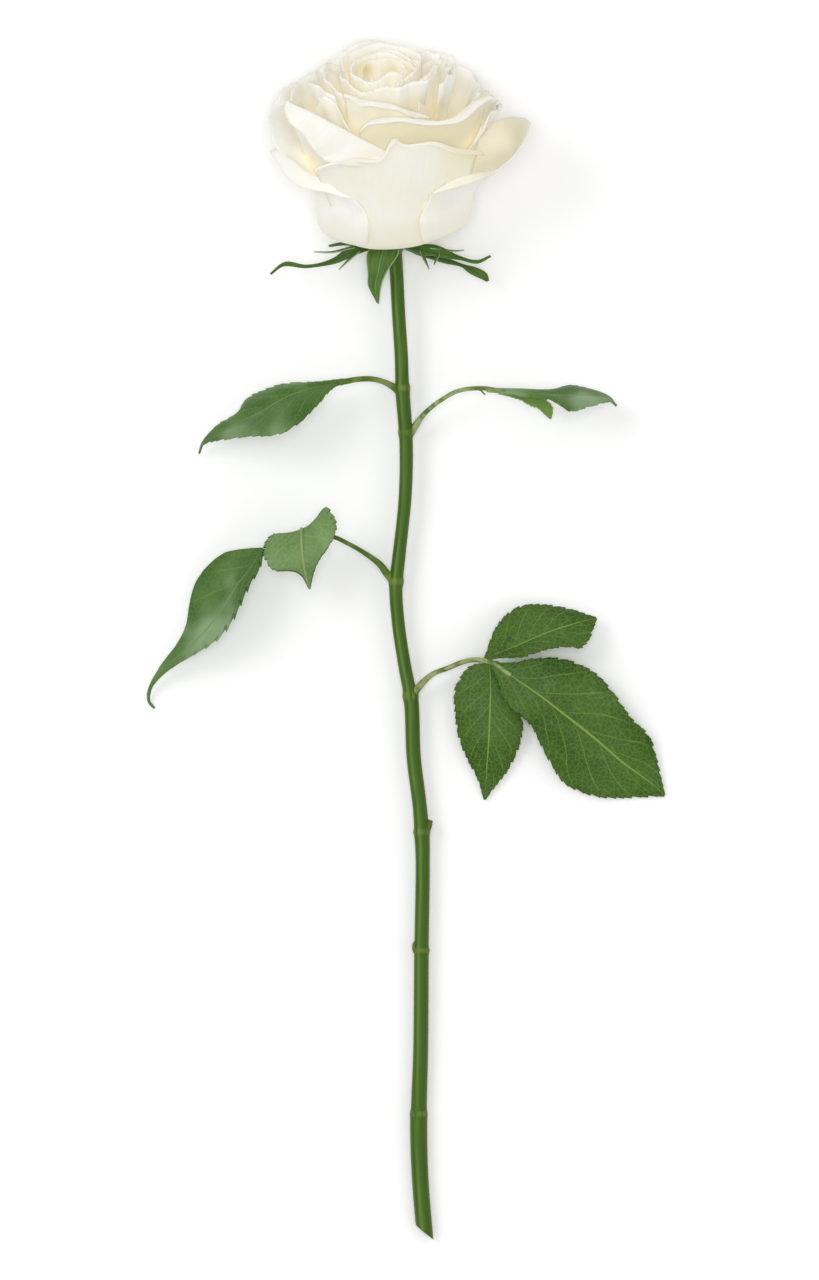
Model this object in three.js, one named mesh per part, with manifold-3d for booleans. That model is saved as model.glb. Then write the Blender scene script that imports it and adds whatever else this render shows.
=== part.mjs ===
// A cut white rose that lies on a table. Millimetres, +Z up from the table, +Y along the stem
// towards the bloom. The stem's cut end and the back of the bloom carry it.
import * as THREE from 'three';
import { mergeVertices } from 'three/addons/utils/BufferGeometryUtils.js';
import Module from 'manifold-3d';

const wasm = await Module();
wasm.setup();

// ---- Driving dimensions ----------------------------------------------------------------------

const SEAT_GAP = 0.3; // clearance where one piece sits on another
const BLOOM_BASE = new THREE.Vector3(-4, 361, 16.6); // top of the hip, where the petals spring from
const BLOOM_TILT = THREE.MathUtils.degToRad(24); // the mouth looks up from the table by this much
const BLOOM_LEAN = THREE.MathUtils.degToRad(4); // and a little to the left
const HIP_LENGTH = 6.5;
const PETAL_THICKNESS = 0.8;
const LEAF_THICKNESS = 0.7;
const RIB_THICKNESS = 0.5; // added to a leaflet along its midrib

// ---- Small helpers ---------------------------------------------------------------------------

const { degToRad, lerp, smoothstep } = THREE.MathUtils;
const point = (x, y, z) => new THREE.Vector3(x, y, z);
const curve = (...points) => (
  new THREE.CatmullRomCurve3(points.map((p) => point(...p)), false, 'centripetal')
);

/** Linear interpolation in a table of [key, value] rows whose keys rise. */
function tabulated(rows, key) {
  const next = rows.findIndex(([k]) => k > key);
  if (next === -1) return rows.at(-1)[1];
  if (next === 0) return rows[0][1];
  const [[k0, v0], [k1, v1]] = [rows[next - 1], rows[next]];
  return lerp(v0, v1, (key - k0) / (k1 - k0));
}

/** A closed three.js geometry as a solid for joining and cutting. */
function solid(geometry, matrix = new THREE.Matrix4()) {
  const bare = new THREE.BufferGeometry();
  bare.setAttribute('position', geometry.getAttribute('position').clone());
  bare.setIndex(geometry.getIndex());
  const merged = mergeVertices(bare.applyMatrix4(matrix), 1e-4);
  return new wasm.Manifold(new wasm.Mesh({
    numProp: 3,
    vertProperties: merged.attributes.position.array,
    triVerts: new Uint32Array(merged.index.array),
  }));
}

/** Joins solids into one body. Sealed hollows between them are filled and loose scraps dropped. */
function fuse(solids) {
  const bodies = wasm.Manifold.union(solids).decompose();
  return bodies.reduce((largest, body) => (body.volume() > largest.volume() ? body : largest));
}

/** A named mesh made from a finished solid. */
function mesh(name, made, material) {
  const { vertProperties, triVerts } = made.getMesh();
  const geometry = new THREE.BufferGeometry();
  geometry.setAttribute('position', new THREE.BufferAttribute(vertProperties, 3));
  geometry.setIndex(new THREE.BufferAttribute(triVerts, 1));
  geometry.computeVertexNormals();
  const result = new THREE.Mesh(geometry, material);
  result.name = name;
  return result;
}

/**
 * A closed thin blade round the middle surface middle(u, v, column, row), with u from -1 to 1
 * across and v from 0 to 1 along. Both faces are split along the same diagonals.
 */
function blade(middle, thicknessAt, columns, rows) {
  const middles = [];
  for (let j = 0; j <= rows; j++)
    for (let i = 0; i <= columns; i++)
      middles.push(middle((2 * i) / columns - 1, j / rows, i, j));
  const at = (i, j) => j * (columns + 1) + i;
  const count = middles.length;
  const positions = new Float32Array(count * 6);
  for (let j = 0; j <= rows; j++)
    for (let i = 0; i <= columns; i++) {
      const [left, right] = [at(Math.max(i - 1, 0), j), at(Math.min(i + 1, columns), j)];
      const [below, above] = [at(i, Math.max(j - 1, 0)), at(i, Math.min(j + 1, rows))];
      const across = middles[right].clone().sub(middles[left]);
      const along = middles[above].clone().sub(middles[below]);
      const normal = across.cross(along).setLength(thicknessAt((2 * i) / columns - 1, j / rows) / 2);
      const k = at(i, j);
      middles[k].clone().add(normal).toArray(positions, 3 * k);
      middles[k].clone().sub(normal).toArray(positions, 3 * (count + k));
    }
  const index = [];
  for (let j = 0; j < rows; j++)
    for (let i = 0; i < columns; i++) {
      const [a, b, c, d] = [at(i, j), at(i + 1, j), at(i + 1, j + 1), at(i, j + 1)];
      index.push(a, b, c, a, c, d);
      index.push(count + a, count + c, count + b, count + a, count + d, count + c);
    }
  const rim = [];
  for (let i = 0; i < columns; i++) rim.push(at(i, 0));
  for (let j = 0; j < rows; j++) rim.push(at(columns, j));
  for (let i = columns; i > 0; i--) rim.push(at(i, rows));
  for (let j = rows; j > 0; j--) rim.push(at(0, j));
  rim.forEach((p, k) => {
    const q = rim[(k + 1) % rim.length];
    index.push(q, p, count + p, q, count + p, count + q);
  });
  const geometry = new THREE.BufferGeometry();
  geometry.setAttribute('position', new THREE.BufferAttribute(positions, 3));
  geometry.setIndex(index);
  return geometry;
}

/** Evenly spaced shares of a length, both ends included. */
const even = (steps) => Array.from({ length: steps + 1 }, (_, i) => i / steps);

/**
 * A closed round rod along a curve that never stands upright, with a ring of points at each
 * station, a share of its length. radiusAt(point, share) gives its radius there.
 */
function rod(path, radiusAt, stations, sides) {
  const positions = [];
  for (const share of stations) {
    const centre = path.getPointAt(share);
    const ahead = path.getTangentAt(share);
    const side = ahead.clone().cross(point(0, 0, 1)).normalize();
    const over = ahead.clone().cross(side);
    const radius = radiusAt(centre, share);
    for (let k = 0; k < sides; k++) {
      const turn = (2 * Math.PI * k) / sides;
      positions.push(...centre.clone()
        .addScaledVector(side, radius * Math.cos(turn))
        .addScaledVector(over, radius * Math.sin(turn)));
    }
  }
  const rings = stations.length;
  const [first, last] = [rings * sides, rings * sides + 1];
  positions.push(...path.getPointAt(stations[0]), ...path.getPointAt(stations.at(-1)));
  const index = [];
  for (let k = 0; k < sides; k++) {
    const next = (k + 1) % sides;
    for (let j = 0; j < rings - 1; j++) {
      const [ring, ringAfter] = [j * sides, (j + 1) * sides];
      const [a, b, c, d] = [ring + k, ring + next, ringAfter + next, ringAfter + k];
      index.push(a, b, c, a, c, d);
    }
    index.push(first, next, k, last, (rings - 1) * sides + k, (rings - 1) * sides + next);
  }
  const geometry = new THREE.BufferGeometry();
  geometry.setAttribute('position', new THREE.Float32BufferAttribute(positions, 3));
  geometry.setIndex(index);
  return geometry;
}

// ---- Where the bloom stands ------------------------------------------------------------------

/** The bloom's own frame: Y along its axis towards the mouth, Z to the side that faces up. */
const bloomPlace = new THREE.Matrix4().makeTranslation(BLOOM_BASE)
  .multiply(new THREE.Matrix4().makeRotationZ(BLOOM_LEAN))
  .multiply(new THREE.Matrix4().makeRotationX(BLOOM_TILT));
const inBloom = (x, y, z) => point(x, y, z).applyMatrix4(bloomPlace);

// ---- Stem ------------------------------------------------------------------------------------

const stemTop = inBloom(0, -HIP_LENGTH - SEAT_GAP, 0);
const stemNeck = inBloom(0, -2.2 * HIP_LENGTH, 0);
const stemSpine = curve(
  [7.8, -6, 3.0], [5.4, 23, 3.2], [4.9, 43, 3.5], [5.6, 68, 4.1], [5.9, 104, 4.8], [6.3, 140, 5.6],
  [5.4, 155, 5.9], [3.1, 174, 6.3], [2.2, 194, 6.7], [0, 206, 7.0], [-2.3, 221, 7.3], [-3.3, 235, 7.6],
  [-2.2, 246, 7.8], [0, 267, 8.3], [0.4, 286, 8.7], [-1.0, 307, 9.2], [-1.3, 317, 9.6],
  [-2.3, 333, 10.9], stemNeck.toArray(), stemTop.toArray(),
);
const stemGirth = [
  [0, 2.95], [23, 3.0], [38, 3.1], [44, 3.1], [48, 2.85], [68, 2.7], [101, 2.65],
  [107, 2.6], [137, 2.55], [145, 2.75], [149, 2.7], [156, 2.55], [190, 2.65], [195, 2.7],
  [199, 2.4], [212, 2.3], [230, 2.35], [238, 2.45], [256, 2.3], [267, 2.35], [290, 2.45],
  [304, 2.6], [311, 2.45], [333, 2.4], [356, 2.5],
];
/** Each node of the stem is a low swollen ring: [place along Y, half length, height]. */
const stemNodes = [
  [45.7, 1.6, 0.25], [104.4, 1.5, 0.35], [147, 1.8, 0.4], [196, 2, 0.35],
  [237, 2, 0.4], [290.5, 1.8, 0.3], [306.5, 1.8, 0.4],
];

/** Share of the stem's length at a place along Y. */
function stemShare(y) {
  let [low, high] = [0, 1];
  while (high - low > 1e-4) {
    const middle = (low + high) / 2;
    if (stemSpine.getPointAt(middle).y < y) low = middle;
    else high = middle;
  }
  return low;
}

function stemRod(extra) {
  const rings = stemNodes.flatMap(([y, half]) => [y - half, y, y + half].map(stemShare));
  const stations = [...even(42), ...rings].sort((a, b) => a - b);
  const ringAt = (y, [at, half, high]) => high * Math.exp(-2 * ((y - at) / half) ** 2);
  const swelling = (y) => stemNodes.reduce((sum, node) => sum + ringAt(y, node), 0);
  return solid(rod(stemSpine, (p) => tabulated(stemGirth, p.y) + swelling(p.y) + extra, stations, 10));
}

/** A squashed ball on the stem at y, moved off its middle line, such as a bud. */
function bud(y, offset, [rx, ry, rz]) {
  const middle = stemSpine.getPointAt(stemShare(y)).add(point(...offset));
  const place = new THREE.Matrix4().makeTranslation(middle).scale(point(rx, ry, rz));
  return solid(new THREE.SphereGeometry(1, 8, 6), place);
}

function stemSolid() {
  const budLine = curve([6.6, 144.8, 6], [8.2, 148.4, 6.6], [9.1, 151.2, 7]);
  const budStub = solid(rod(budLine, (p, share) => lerp(1.6, 0.95, share), even(3), 8));
  const sideBud = bud(105.5, [-2.5, 0, 0.6], [0.9, 2.2, 1.2]);
  const budEye = bud(46.8, [-1.2, 0, 2.6], [1.0, 1.5, 0.9]);
  // The slanted cut through the foot.
  const knife = new THREE.Matrix4().makeTranslation(7, 3, 0)
    .multiply(new THREE.Matrix4().makeRotationZ(degToRad(-40)))
    .multiply(new THREE.Matrix4().makeTranslation(0, -20, 0));
  const cutAway = solid(new THREE.BoxGeometry(60, 40, 60), knife);
  return fuse([fuse([stemRod(0), budStub, sideBud, budEye]).subtract(cutAway)]);
}

/** What a leaf or the calyx keeps clear of. */
const stemClear = stemRod(SEAT_GAP);

// ---- Leaves ----------------------------------------------------------------------------------

/** A flat blade's place between a middle curve and its two margins: u across, share along. */
function between(ribLine, leftLine, rightLine, u, along, alongMargin) {
  const margin = (u < 0 ? leftLine : rightLine).getPointAt(alongMargin);
  return ribLine.getPointAt(along).lerp(margin, Math.abs(u));
}

/**
 * One leaflet as a thin blade. Its midrib and its left and right margins are curves from base to
 * tip, arch is how high the halves bulge between them. The margins are toothed like a saw.
 */
function leaflet({ rib, left, right, arch = 1, teeth = 11, columns = 4, notch = 0.07 }) {
  const rows = 2 * teeth;
  const lines = [rib, left, right].map((points) => curve(...points));
  const across = lines[2].getPointAt(0.5).sub(lines[1].getPointAt(0.5));
  const facing = across.cross(lines[0].getTangentAt(0.5)).normalize();
  const middle = (u, v, column, row) => {
    const onMargin = column === 0 || column === columns;
    const onTooth = row % 2 === 1;
    const reach = onMargin && onTooth && notch > 0 ? Math.min(v + 0.4 / rows, 1) : v;
    const place = between(...lines, onMargin && !onTooth ? u * (1 - notch) : u, v, reach);
    const lift = arch * Math.sin(Math.PI * Math.abs(u)) * Math.sin(Math.PI * v);
    return place.addScaledVector(facing, lift);
  };
  const thickness = (u) => LEAF_THICKNESS + RIB_THICKNESS * Math.pow(1 - Math.abs(u), 3);
  return solid(blade(middle, thickness, columns, rows));
}

/** A leaf stalk that is thicker where it joins the stem. */
function stalk(path, base = 1.5, tip = 0.8, steps = 10) {
  return solid(rod(path, (p, share) => lerp(base, tip, smoothstep(share, 0, 0.35)), even(steps), 6));
}

/** Joins a leaf's blades and stalk, and cuts it clear of the stem. */
function leaf(parts) {
  return fuse([fuse(parts).subtract(stemClear)]);
}

function leafUpperLeft() {
  const petiole = curve([-0.5, 303.6, 8.3], [-4.6, 307.2, 9.6], [-10.8, 309.5, 13.4],
    [-17.3, 309.4, 17.3], [-24, 308.1, 18.9]);
  return leaf([
    stalk(petiole, 1.6, 1.0),
    leaflet({
      rib: [
        [-19.6, 309, 18], [-30.2, 306.9, 19.5], [-41.7, 303.3, 19.5], [-53.3, 296.8, 17],
        [-65.4, 291.3, 12], [-72.2, 287.1, 7.2], [-74, 283.1, 3.6],
      ],
      left: [
        [-19.6, 308, 18.6], [-25.5, 306.2, 21], [-30.2, 300.7, 25],
        [-37.4, 293.7, 29], [-45.6, 289.3, 29], [-57.2, 288.4, 22.5],
        [-66.8, 287.4, 14], [-72.6, 285.7, 7], [-73.8, 282.9, 3.2],
      ],
      right: [
        [-19.6, 310, 17.6], [-30.2, 308.9, 17], [-43.7, 307.9, 13.5],
        [-52.8, 305.2, 10], [-56.8, 303.2, 8.6], [-60.5, 297.4, 9.8],
        [-67.6, 293.2, 8.6], [-72.8, 287.4, 5.6], [-74.3, 283.3, 3.5],
      ],
      teeth: 13,
    }),
  ]);
}

function leafUpperRight() {
  const petiole = curve(
    [0.4, 287.5, 8.1], [4.0, 293.4, 9.6], [7.6, 297.9, 11.5], [13.8, 302.6, 14.8],
    [19.4, 305.4, 17.2], [27.4, 306.2, 19], [36, 305, 20],
  );
  const stipule = curve([26, 306.1, 18.6], [27.4, 305.2, 18.4], [28.7, 303.9, 18]);
  return leaf([
    stalk(petiole, 1.5, 0.8, 14),
    stalk(stipule, 0.6, 0.35, 3),
    leaflet({
      rib: [
        [29.2, 306, 19.4], [44.7, 304.3, 20.5], [59.6, 303.7, 20],
        [66.8, 303.3, 18.4], [73.1, 302.4, 15.6], [75.8, 300, 12.4],
      ],
      left: [
        [29.8, 306.5, 19], [42.7, 305.7, 17], [53.3, 305.8, 13], [58.2, 307.2, 11.5],
        [63, 307.1, 10.6], [67.8, 306, 10.6], [73.6, 303.2, 11.6], [76.1, 300.2, 12.1],
      ],
      right: [
        [29.8, 305.5, 19.6], [45.6, 302.4, 23], [51.9, 301.6, 26], [55.4, 300, 28],
        [59.1, 297.8, 28.6], [65.9, 299, 26], [73.6, 301.2, 17], [75.6, 299.8, 12.8],
      ],
    }),
    leaflet({
      rib: [[34, 305, 18.6], [43, 302.6, 15], [49.5, 299.6, 12], [52.3, 295.5, 9]],
      left: [
        [34.4, 305.4, 18.4], [42, 305.6, 12.5], [49.5, 303.7, 9.5],
        [53.2, 299.5, 9], [52.6, 295.4, 8.8],
      ],
      right: [
        [33.8, 304.6, 18.8], [38, 303, 17.6], [42.7, 301, 16], [47.5, 298.7, 13], [52, 295.4, 9.3],
      ],
      arch: 0.4, teeth: 8,
    }),
  ]);
}

function leafMiddleLeft() {
  const petiole = curve(
    [-3.0, 235.4, 7.2], [-6.8, 240.2, 8.4], [-9.1, 243.2, 9.9],
    [-15.1, 247.6, 12.6], [-20.5, 250.6, 14.6], [-25.2, 252.8, 15.9],
    [-36.7, 254.4, 17.2], [-45, 252.4, 17.6], [-54, 243.6, 18.2],
  );
  return leaf([
    stalk(petiole, 1.5, 0.8, 18),
    // The end leaflet hangs from the arched stalk and its drawn-out tip curls back.
    leaflet({
      rib: [
        [-50.9, 248.8, 18.2], [-54.8, 242.5, 18.8], [-60.2, 235.4, 18.6], [-65.5, 227, 17],
        [-72.1, 218.6, 14.5], [-79.9, 211.5, 11], [-87, 205.5, 7.6], [-91.6, 199, 4.2],
        [-92.2, 193.8, 1.9], [-90.2, 191.4, 1.2],
      ],
      left: [
        [-51.1, 249.2, 17.9], [-57.2, 248.8, 14], [-65, 247.3, 10.2], [-70.9, 242.5, 7.4],
        [-75.1, 236.6, 6], [-77.5, 229.4, 6], [-79, 221, 6.8], [-82, 214.5, 7.4],
        [-88.4, 206.1, 5.6], [-92.5, 198.6, 3.2], [-92.7, 193.7, 1.6], [-90.4, 191.1, 1],
      ],
      right: [
        [-50.6, 248.4, 18.4], [-51.8, 241.3, 21.5], [-54.4, 236.9, 23.5], [-59.9, 225.2, 24.5],
        [-63.8, 219.2, 23], [-68.5, 214.5, 20], [-74.5, 210.9, 16], [-79.9, 208.2, 12.8],
        [-86.6, 203.9, 8], [-91, 198.8, 4.4], [-91.7, 194.1, 2.2], [-90, 191.8, 1.4],
      ],
      teeth: 14,
    }),
    // The side leaflet rises towards the viewer, folds over and points down the stem.
    leaflet({
      rib: [
        [-36.8, 253.2, 17.6], [-37, 255.6, 23], [-36.8, 248.5, 28.4],
        [-35.8, 240.6, 28.4], [-34.2, 234.2, 24.4],
      ],
      left: [
        [-37.4, 253.2, 17.6], [-43.5, 253.9, 21.5], [-48, 253.7, 22.6],
        [-50.6, 250.3, 23.2], [-50.2, 244.3, 24], [-47.2, 240.9, 25],
        [-39.9, 240.6, 27], [-37.2, 239, 26.6], [-34.4, 234.1, 24.4],
      ],
      right: [
        [-36.2, 253.2, 17.6], [-32, 258.4, 22.4], [-28, 263.8, 24.4], [-24.2, 257.6, 24.2],
        [-25.8, 251.6, 24.8], [-30.8, 244.3, 26.2], [-32.4, 240.1, 26.2], [-33.9, 234.3, 24.4],
      ],
      arch: 1.5, teeth: 10,
    }),
  ]);
}

function leafLowerRight() {
  const petiole = curve(
    [1.6, 194.0, 6.6], [4.2, 198.2, 7.8], [9.7, 203.6, 9.8], [15.3, 205.9, 10.9],
    [20.8, 208.1, 11.5], [25.6, 208.9, 11.7], [31, 207.9, 12], [38, 203.3, 13],
  );
  return leaf([
    stalk(petiole, 1.5, 0.9, 14),
    // The end leaflet is the broadest and lies over its lower neighbour.
    leaflet({
      rib: [
        [30, 208.4, 12], [39, 202.6, 13.4], [48.4, 196, 14], [55.6, 190.5, 13.4],
        [67.7, 181.1, 10.6], [78.7, 171.7, 6.8], [89.2, 164, 3], [93.4, 160.1, 1.4],
      ],
      left: [
        [30.6, 208.8, 11.8], [37.4, 208, 12.6], [46.8, 209.7, 13], [52.8, 210, 12.4],
        [59.4, 208.8, 11.4], [68.8, 204.1, 9.4], [74.9, 197.4, 8], [81.5, 188.2, 6.6],
        [88, 181.6, 4.6], [90.9, 172.8, 2.6], [93.6, 160.6, 1.3],
      ],
      right: [
        [30.4, 207.6, 11.8], [32.6, 202.8, 12.2], [34.3, 197.4, 12], [37, 192.3, 11.6],
        [41.8, 188.3, 11], [45.7, 184.1, 10], [49, 177.2, 8.4], [52.4, 171.1, 6.8],
        [56.4, 164.9, 5], [60.4, 162.3, 3.8], [68.2, 159.6, 2.4], [75.4, 158.9, 1.6],
        [84.2, 159.2, 1.3], [93.1, 159.6, 1.3],
      ],
      arch: 0.8, teeth: 15, columns: 6, notch: 0.05,
    }),
    leaflet({
      rib: [
        [28, 208.9, 11.8], [39.6, 213.6, 13.2], [53.4, 219.4, 12.4],
        [61.5, 222, 10.4], [68.8, 223.8, 7.4],
      ],
      left: [
        [28.4, 209.6, 11.4], [31.9, 219.5, 9.4], [36.3, 225.4, 7.2], [41.2, 228.4, 5.4],
        [50.1, 228.8, 4.6], [58.4, 227.6, 4.6], [68.6, 224.2, 7],
      ],
      right: [
        [28.8, 208.6, 12], [35, 209.4, 14.4], [42.4, 209.6, 16.4], [53.4, 213, 17.4],
        [59.4, 213.3, 16.6], [62.9, 212.7, 15.4], [65.7, 215, 13], [69, 223.3, 7.6],
      ],
    }),
    leaflet({
      rib: [
        [30.2, 208.2, 11.2], [30.7, 199.8, 8.8], [30.5, 189.9, 7.4],
        [30, 178.9, 5.8], [29.4, 170.6, 4], [28.7, 158.6, 1.4],
      ],
      left: [
        [30.9, 208, 11], [36.3, 203.1, 7], [40.2, 196.5, 5.6], [42.2, 188.3, 5], [42.6, 184.4, 4.6],
        [40.7, 176.1, 3.6], [36.8, 168.4, 2.8], [32.4, 162.9, 2], [29.1, 158.5, 1.4],
      ],
      right: [
        [29.4, 208, 11], [23.1, 206.8, 9], [19.9, 203.1, 7.8], [17.4, 197.6, 6.8], [17.6, 191, 6.2],
        [19, 181.1, 5.2], [22.3, 172.8, 4], [25.8, 166.2, 2.8], [28.3, 158.5, 1.4],
      ],
      teeth: 12, notch: 0.09,
    }),
  ]);
}

// ---- Calyx: the hip and its five sepals ------------------------------------------------------

/** A sepal is a leaflet with plain margins. */
const sepal = (lines) => leaflet({ arch: 0.5, teeth: 5, columns: 2, notch: 0, ...lines });

const LOBE_UP = point(0, 0.9, 0.4); // the way a lobe's upper face looks
const LOBE_FOLD = 0.3; // how far its margins rise, as a share of its half width

/** A narrow pointed lobe at a sepal's side: a folded strip along a curve, widest at its root. */
function lobe(width, ...points) {
  const rib = curve(...points);
  const middle = (u, v) => {
    const along = rib.getTangentAt(v);
    const up = LOBE_UP.clone().addScaledVector(along, -LOBE_UP.dot(along)).normalize();
    const half = (width / 2) * (1 - 0.8 * v);
    return rib.getPointAt(v)
      .addScaledVector(along.cross(up), u * half)
      .addScaledVector(up, LOBE_FOLD * Math.abs(u) * half);
  };
  return solid(blade(middle, () => LEAF_THICKNESS, 2, 3));
}

const leftSepal = () => [
  sepal({
    rib: [
      [-5.5, 359, 15.8], [-13, 357, 16], [-20, 354.6, 16], [-30.2, 350.2, 15.6],
      [-38.6, 350.1, 15], [-43.4, 350.8, 14.4], [-48.2, 347.2, 13],
    ],
    left: [
      [-5.6, 357.4, 15.4], [-13, 355.6, 16.4], [-18, 353.7, 17], [-25.8, 350.7, 16.6],
      [-35.1, 349.4, 15.8], [-43.6, 349.9, 14.8], [-48, 347, 13.2],
    ],
    right: [
      [-5.4, 360, 14.6], [-13, 358.6, 14.8], [-20.2, 356.7, 15], [-25.8, 352.9, 15.2],
      [-35.1, 350.4, 15], [-43, 351.6, 14.2], [-48.4, 347.6, 12.9],
    ],
  }),
  lobe(2.2, [-18, 356.8, 15.2], [-26, 355, 14.6], [-32.6, 355.2, 14]),
  lobe(2.0, [-16.5, 355.4, 16.6], [-19.8, 352.4, 17.4], [-23.7, 348.7, 17.6]),
];

/** The front sepal hangs down over the top of the stem, one margin folded up. */
const frontSepal = () => [
  sepal({
    rib: [
      [-7, 358.6, 19.4], [-8.4, 353.5, 21.4], [-9.6, 347.4, 21.4],
      [-10.6, 342.6, 20], [-9.8, 336.7, 18],
    ],
    left: [
      [-10.4, 359, 17.6], [-13.6, 354.6, 19.6], [-13.4, 347.1, 20.2],
      [-13.3, 343.2, 19.6], [-10.2, 336.9, 17.9],
    ],
    right: [
      [-3.6, 358.6, 19.4], [-2.2, 354.8, 21.6], [-5.6, 349.2, 22.4],
      [-8.2, 344, 21.6], [-9.4, 336.5, 18.2],
    ],
  }),
];

const rightSepals = () => [
  sepal({
    rib: [
      [-2.4, 358.4, 16.4], [8.4, 355.5, 16.2], [18.9, 353.1, 15.4],
      [26, 351.6, 14.8], [30.7, 353.7, 15.2],
    ],
    left: [
      [-2.2, 359.6, 15.4], [6, 358, 15], [11.4, 357.6, 14.8],
      [18.9, 353.9, 14.9], [26, 352.2, 14.5], [30.4, 354, 15],
    ],
    right: [
      [-2.6, 357.2, 17.2], [6.2, 354, 17.2], [10.7, 353.6, 17],
      [19, 352.3, 15.9], [26, 351, 15.1], [31, 353.4, 15.4],
    ],
  }),
  lobe(2.2, [9, 356.6, 15.2], [17, 355.4, 14.8], [21.2, 355.8, 14.6]),
  lobe(1.8, [6, 355.6, 17], [7, 352.4, 17.8], [8.7, 348.8, 18]),
  lobe(1.8, [11.6, 354.6, 16.8], [11.2, 352.4, 17.4], [10.4, 350.4, 17.6]),
  // The lower one ends in a small leafy blade.
  sepal({
    rib: [
      [-1.6, 358, 13.4], [7, 354.6, 12.6], [14, 352.4, 12],
      [20.4, 350.4, 11.2], [26, 347.4, 10.2], [29.8, 345, 9.4],
    ],
    left: [
      [-1.2, 359.2, 13], [7.4, 356.2, 12.2], [14.4, 353.4, 11.6], [20.6, 350.9, 11],
      [26, 349.6, 10], [29.4, 347.6, 9.4], [30.2, 345, 9.2],
    ],
    right: [
      [-2, 356.8, 13.8], [6.6, 353.4, 13.2], [13.6, 351.4, 12.4], [20.2, 349.9, 11.4],
      [22.7, 347.9, 11], [27.1, 345.7, 10.2], [29.4, 344.6, 9.6],
    ],
  }),
];

const backSepal = () => [
  sepal({
    rib: [[-6, 359.6, 12.6], [-14, 359.2, 11], [-22, 358.4, 10.4], [-27.4, 357.4, 10.2]],
    left: [[-5.6, 358.2, 12], [-14, 357, 10.6], [-22, 357.8, 10.2], [-27.2, 357.1, 10.2]],
    right: [[-6.4, 360.8, 12.4], [-14, 361, 10.4], [-22, 359, 10.2], [-27.6, 357.8, 10.2]],
  }),
];

function calyxSolid() {
  const hip = new THREE.LatheGeometry([
    [0, -HIP_LENGTH], [2.5, -HIP_LENGTH], [3.3, -5.2], [4.3, -3.4], [4.7, -1.8], [4.4, -0.5],
      [3.6, 0], [0, 0],
  ].map(([r, y]) => new THREE.Vector2(r, y)), 12);
  const sepals = [...leftSepal(), ...frontSepal(), ...rightSepals(), ...backSepal()];
  return fuse([fuse([solid(hip, bloomPlace), ...sepals]).subtract(stemClear)]);
}

// ---- Bloom -----------------------------------------------------------------------------------

/**
 * A petal is drawn by rows of stops from its claw to its rim, and its surface runs smoothly
 * through them. Each stop is [turn, radius, height] round the bloom's axis: turn 0 faces up from
 * the table and 90 is to the right.
 */
function petalSurface(rows) {
  const smooth = (points) => new THREE.CatmullRomCurve3(points, false, 'catmullrom', 0.5);
  const lines = rows.map((stops) => smooth(stops.map((stop) => point(...stop))));
  return (u, v) => smooth(lines.map((line) => line.getPoint((u + 1) / 2))).getPoint(v);
}

/** The rows of a petal that rises from its claw over a belly and a neck to the stops of its rim. */
function cupped({ claw, foot, belly, neck = [0.35, 0.7] }, ...rim) {
  const middle = rim.reduce((sum, [turn]) => sum + turn, 0) / rim.length;
  const row = (spread, radiusAt, share) => rim.map(([turn, reach, top]) => [
    middle + spread * (turn - middle), radiusAt(reach), lerp(foot, top, share),
  ]);
  return [
    row(0.5, () => claw, 0),
    row(1.05, () => 0.8 * belly, 0.06),
    row(1.15, () => belly, 0.34),
    row(1.1, (reach) => lerp(belly, reach, neck[0]), neck[1]),
    rim,
  ];
}

/** The low petal at the front left, whose rim rolls over outwards. */
const frontLeft = [
  [
    [-100, 4.5, 1.5], [-90, 4.5, 1.5], [-80, 4.5, 1.5], [-70, 4.5, 1.5], [-60, 4.5, 1.5],
    [-51, 4.5, 1.5], [-42, 4.5, 1.5],
  ],
  [
    [-122, 22, 6], [-104, 23.3, 5.5], [-87, 24, 5], [-70, 24, 5], [-54, 24, 5], [-39, 24, 5.2],
    [-24, 24, 5.5],
  ],
  [
    [-126, 26, 13], [-106, 27, 12.5], [-88, 27, 12], [-70, 28, 12], [-52, 28.6, 12],
    [-34, 29.2, 13], [-17, 30, 15],
  ],
  [
    [-124, 27, 20], [-105, 27.5, 19.5], [-87, 27.5, 19.5], [-70, 28.2, 19.5], [-52, 29.3, 20],
    [-35, 30, 21.5], [-18, 30.4, 21],
  ],
  [
    [-122, 30, 25], [-104, 31, 25.5], [-87, 31.5, 26.5], [-71, 32.3, 28], [-54, 32.2, 28],
    [-38, 32.2, 27.5], [-22, 31.5, 25],
  ],
  [
    [-120, 34, 30], [-101, 36.5, 33], [-82, 37.8, 37.5], [-65, 37.5, 38.3], [-51, 35.6, 35],
    [-37, 33.6, 30.8], [-25, 32.4, 27.5],
  ],
  [
    [-118, 38, 32], [-99, 40.5, 35], [-82, 42, 37], [-66, 41.8, 35.5], [-51, 39.6, 31.3],
    [-37, 35.6, 29.2], [-28, 33.8, 28.5],
  ],
];

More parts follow.
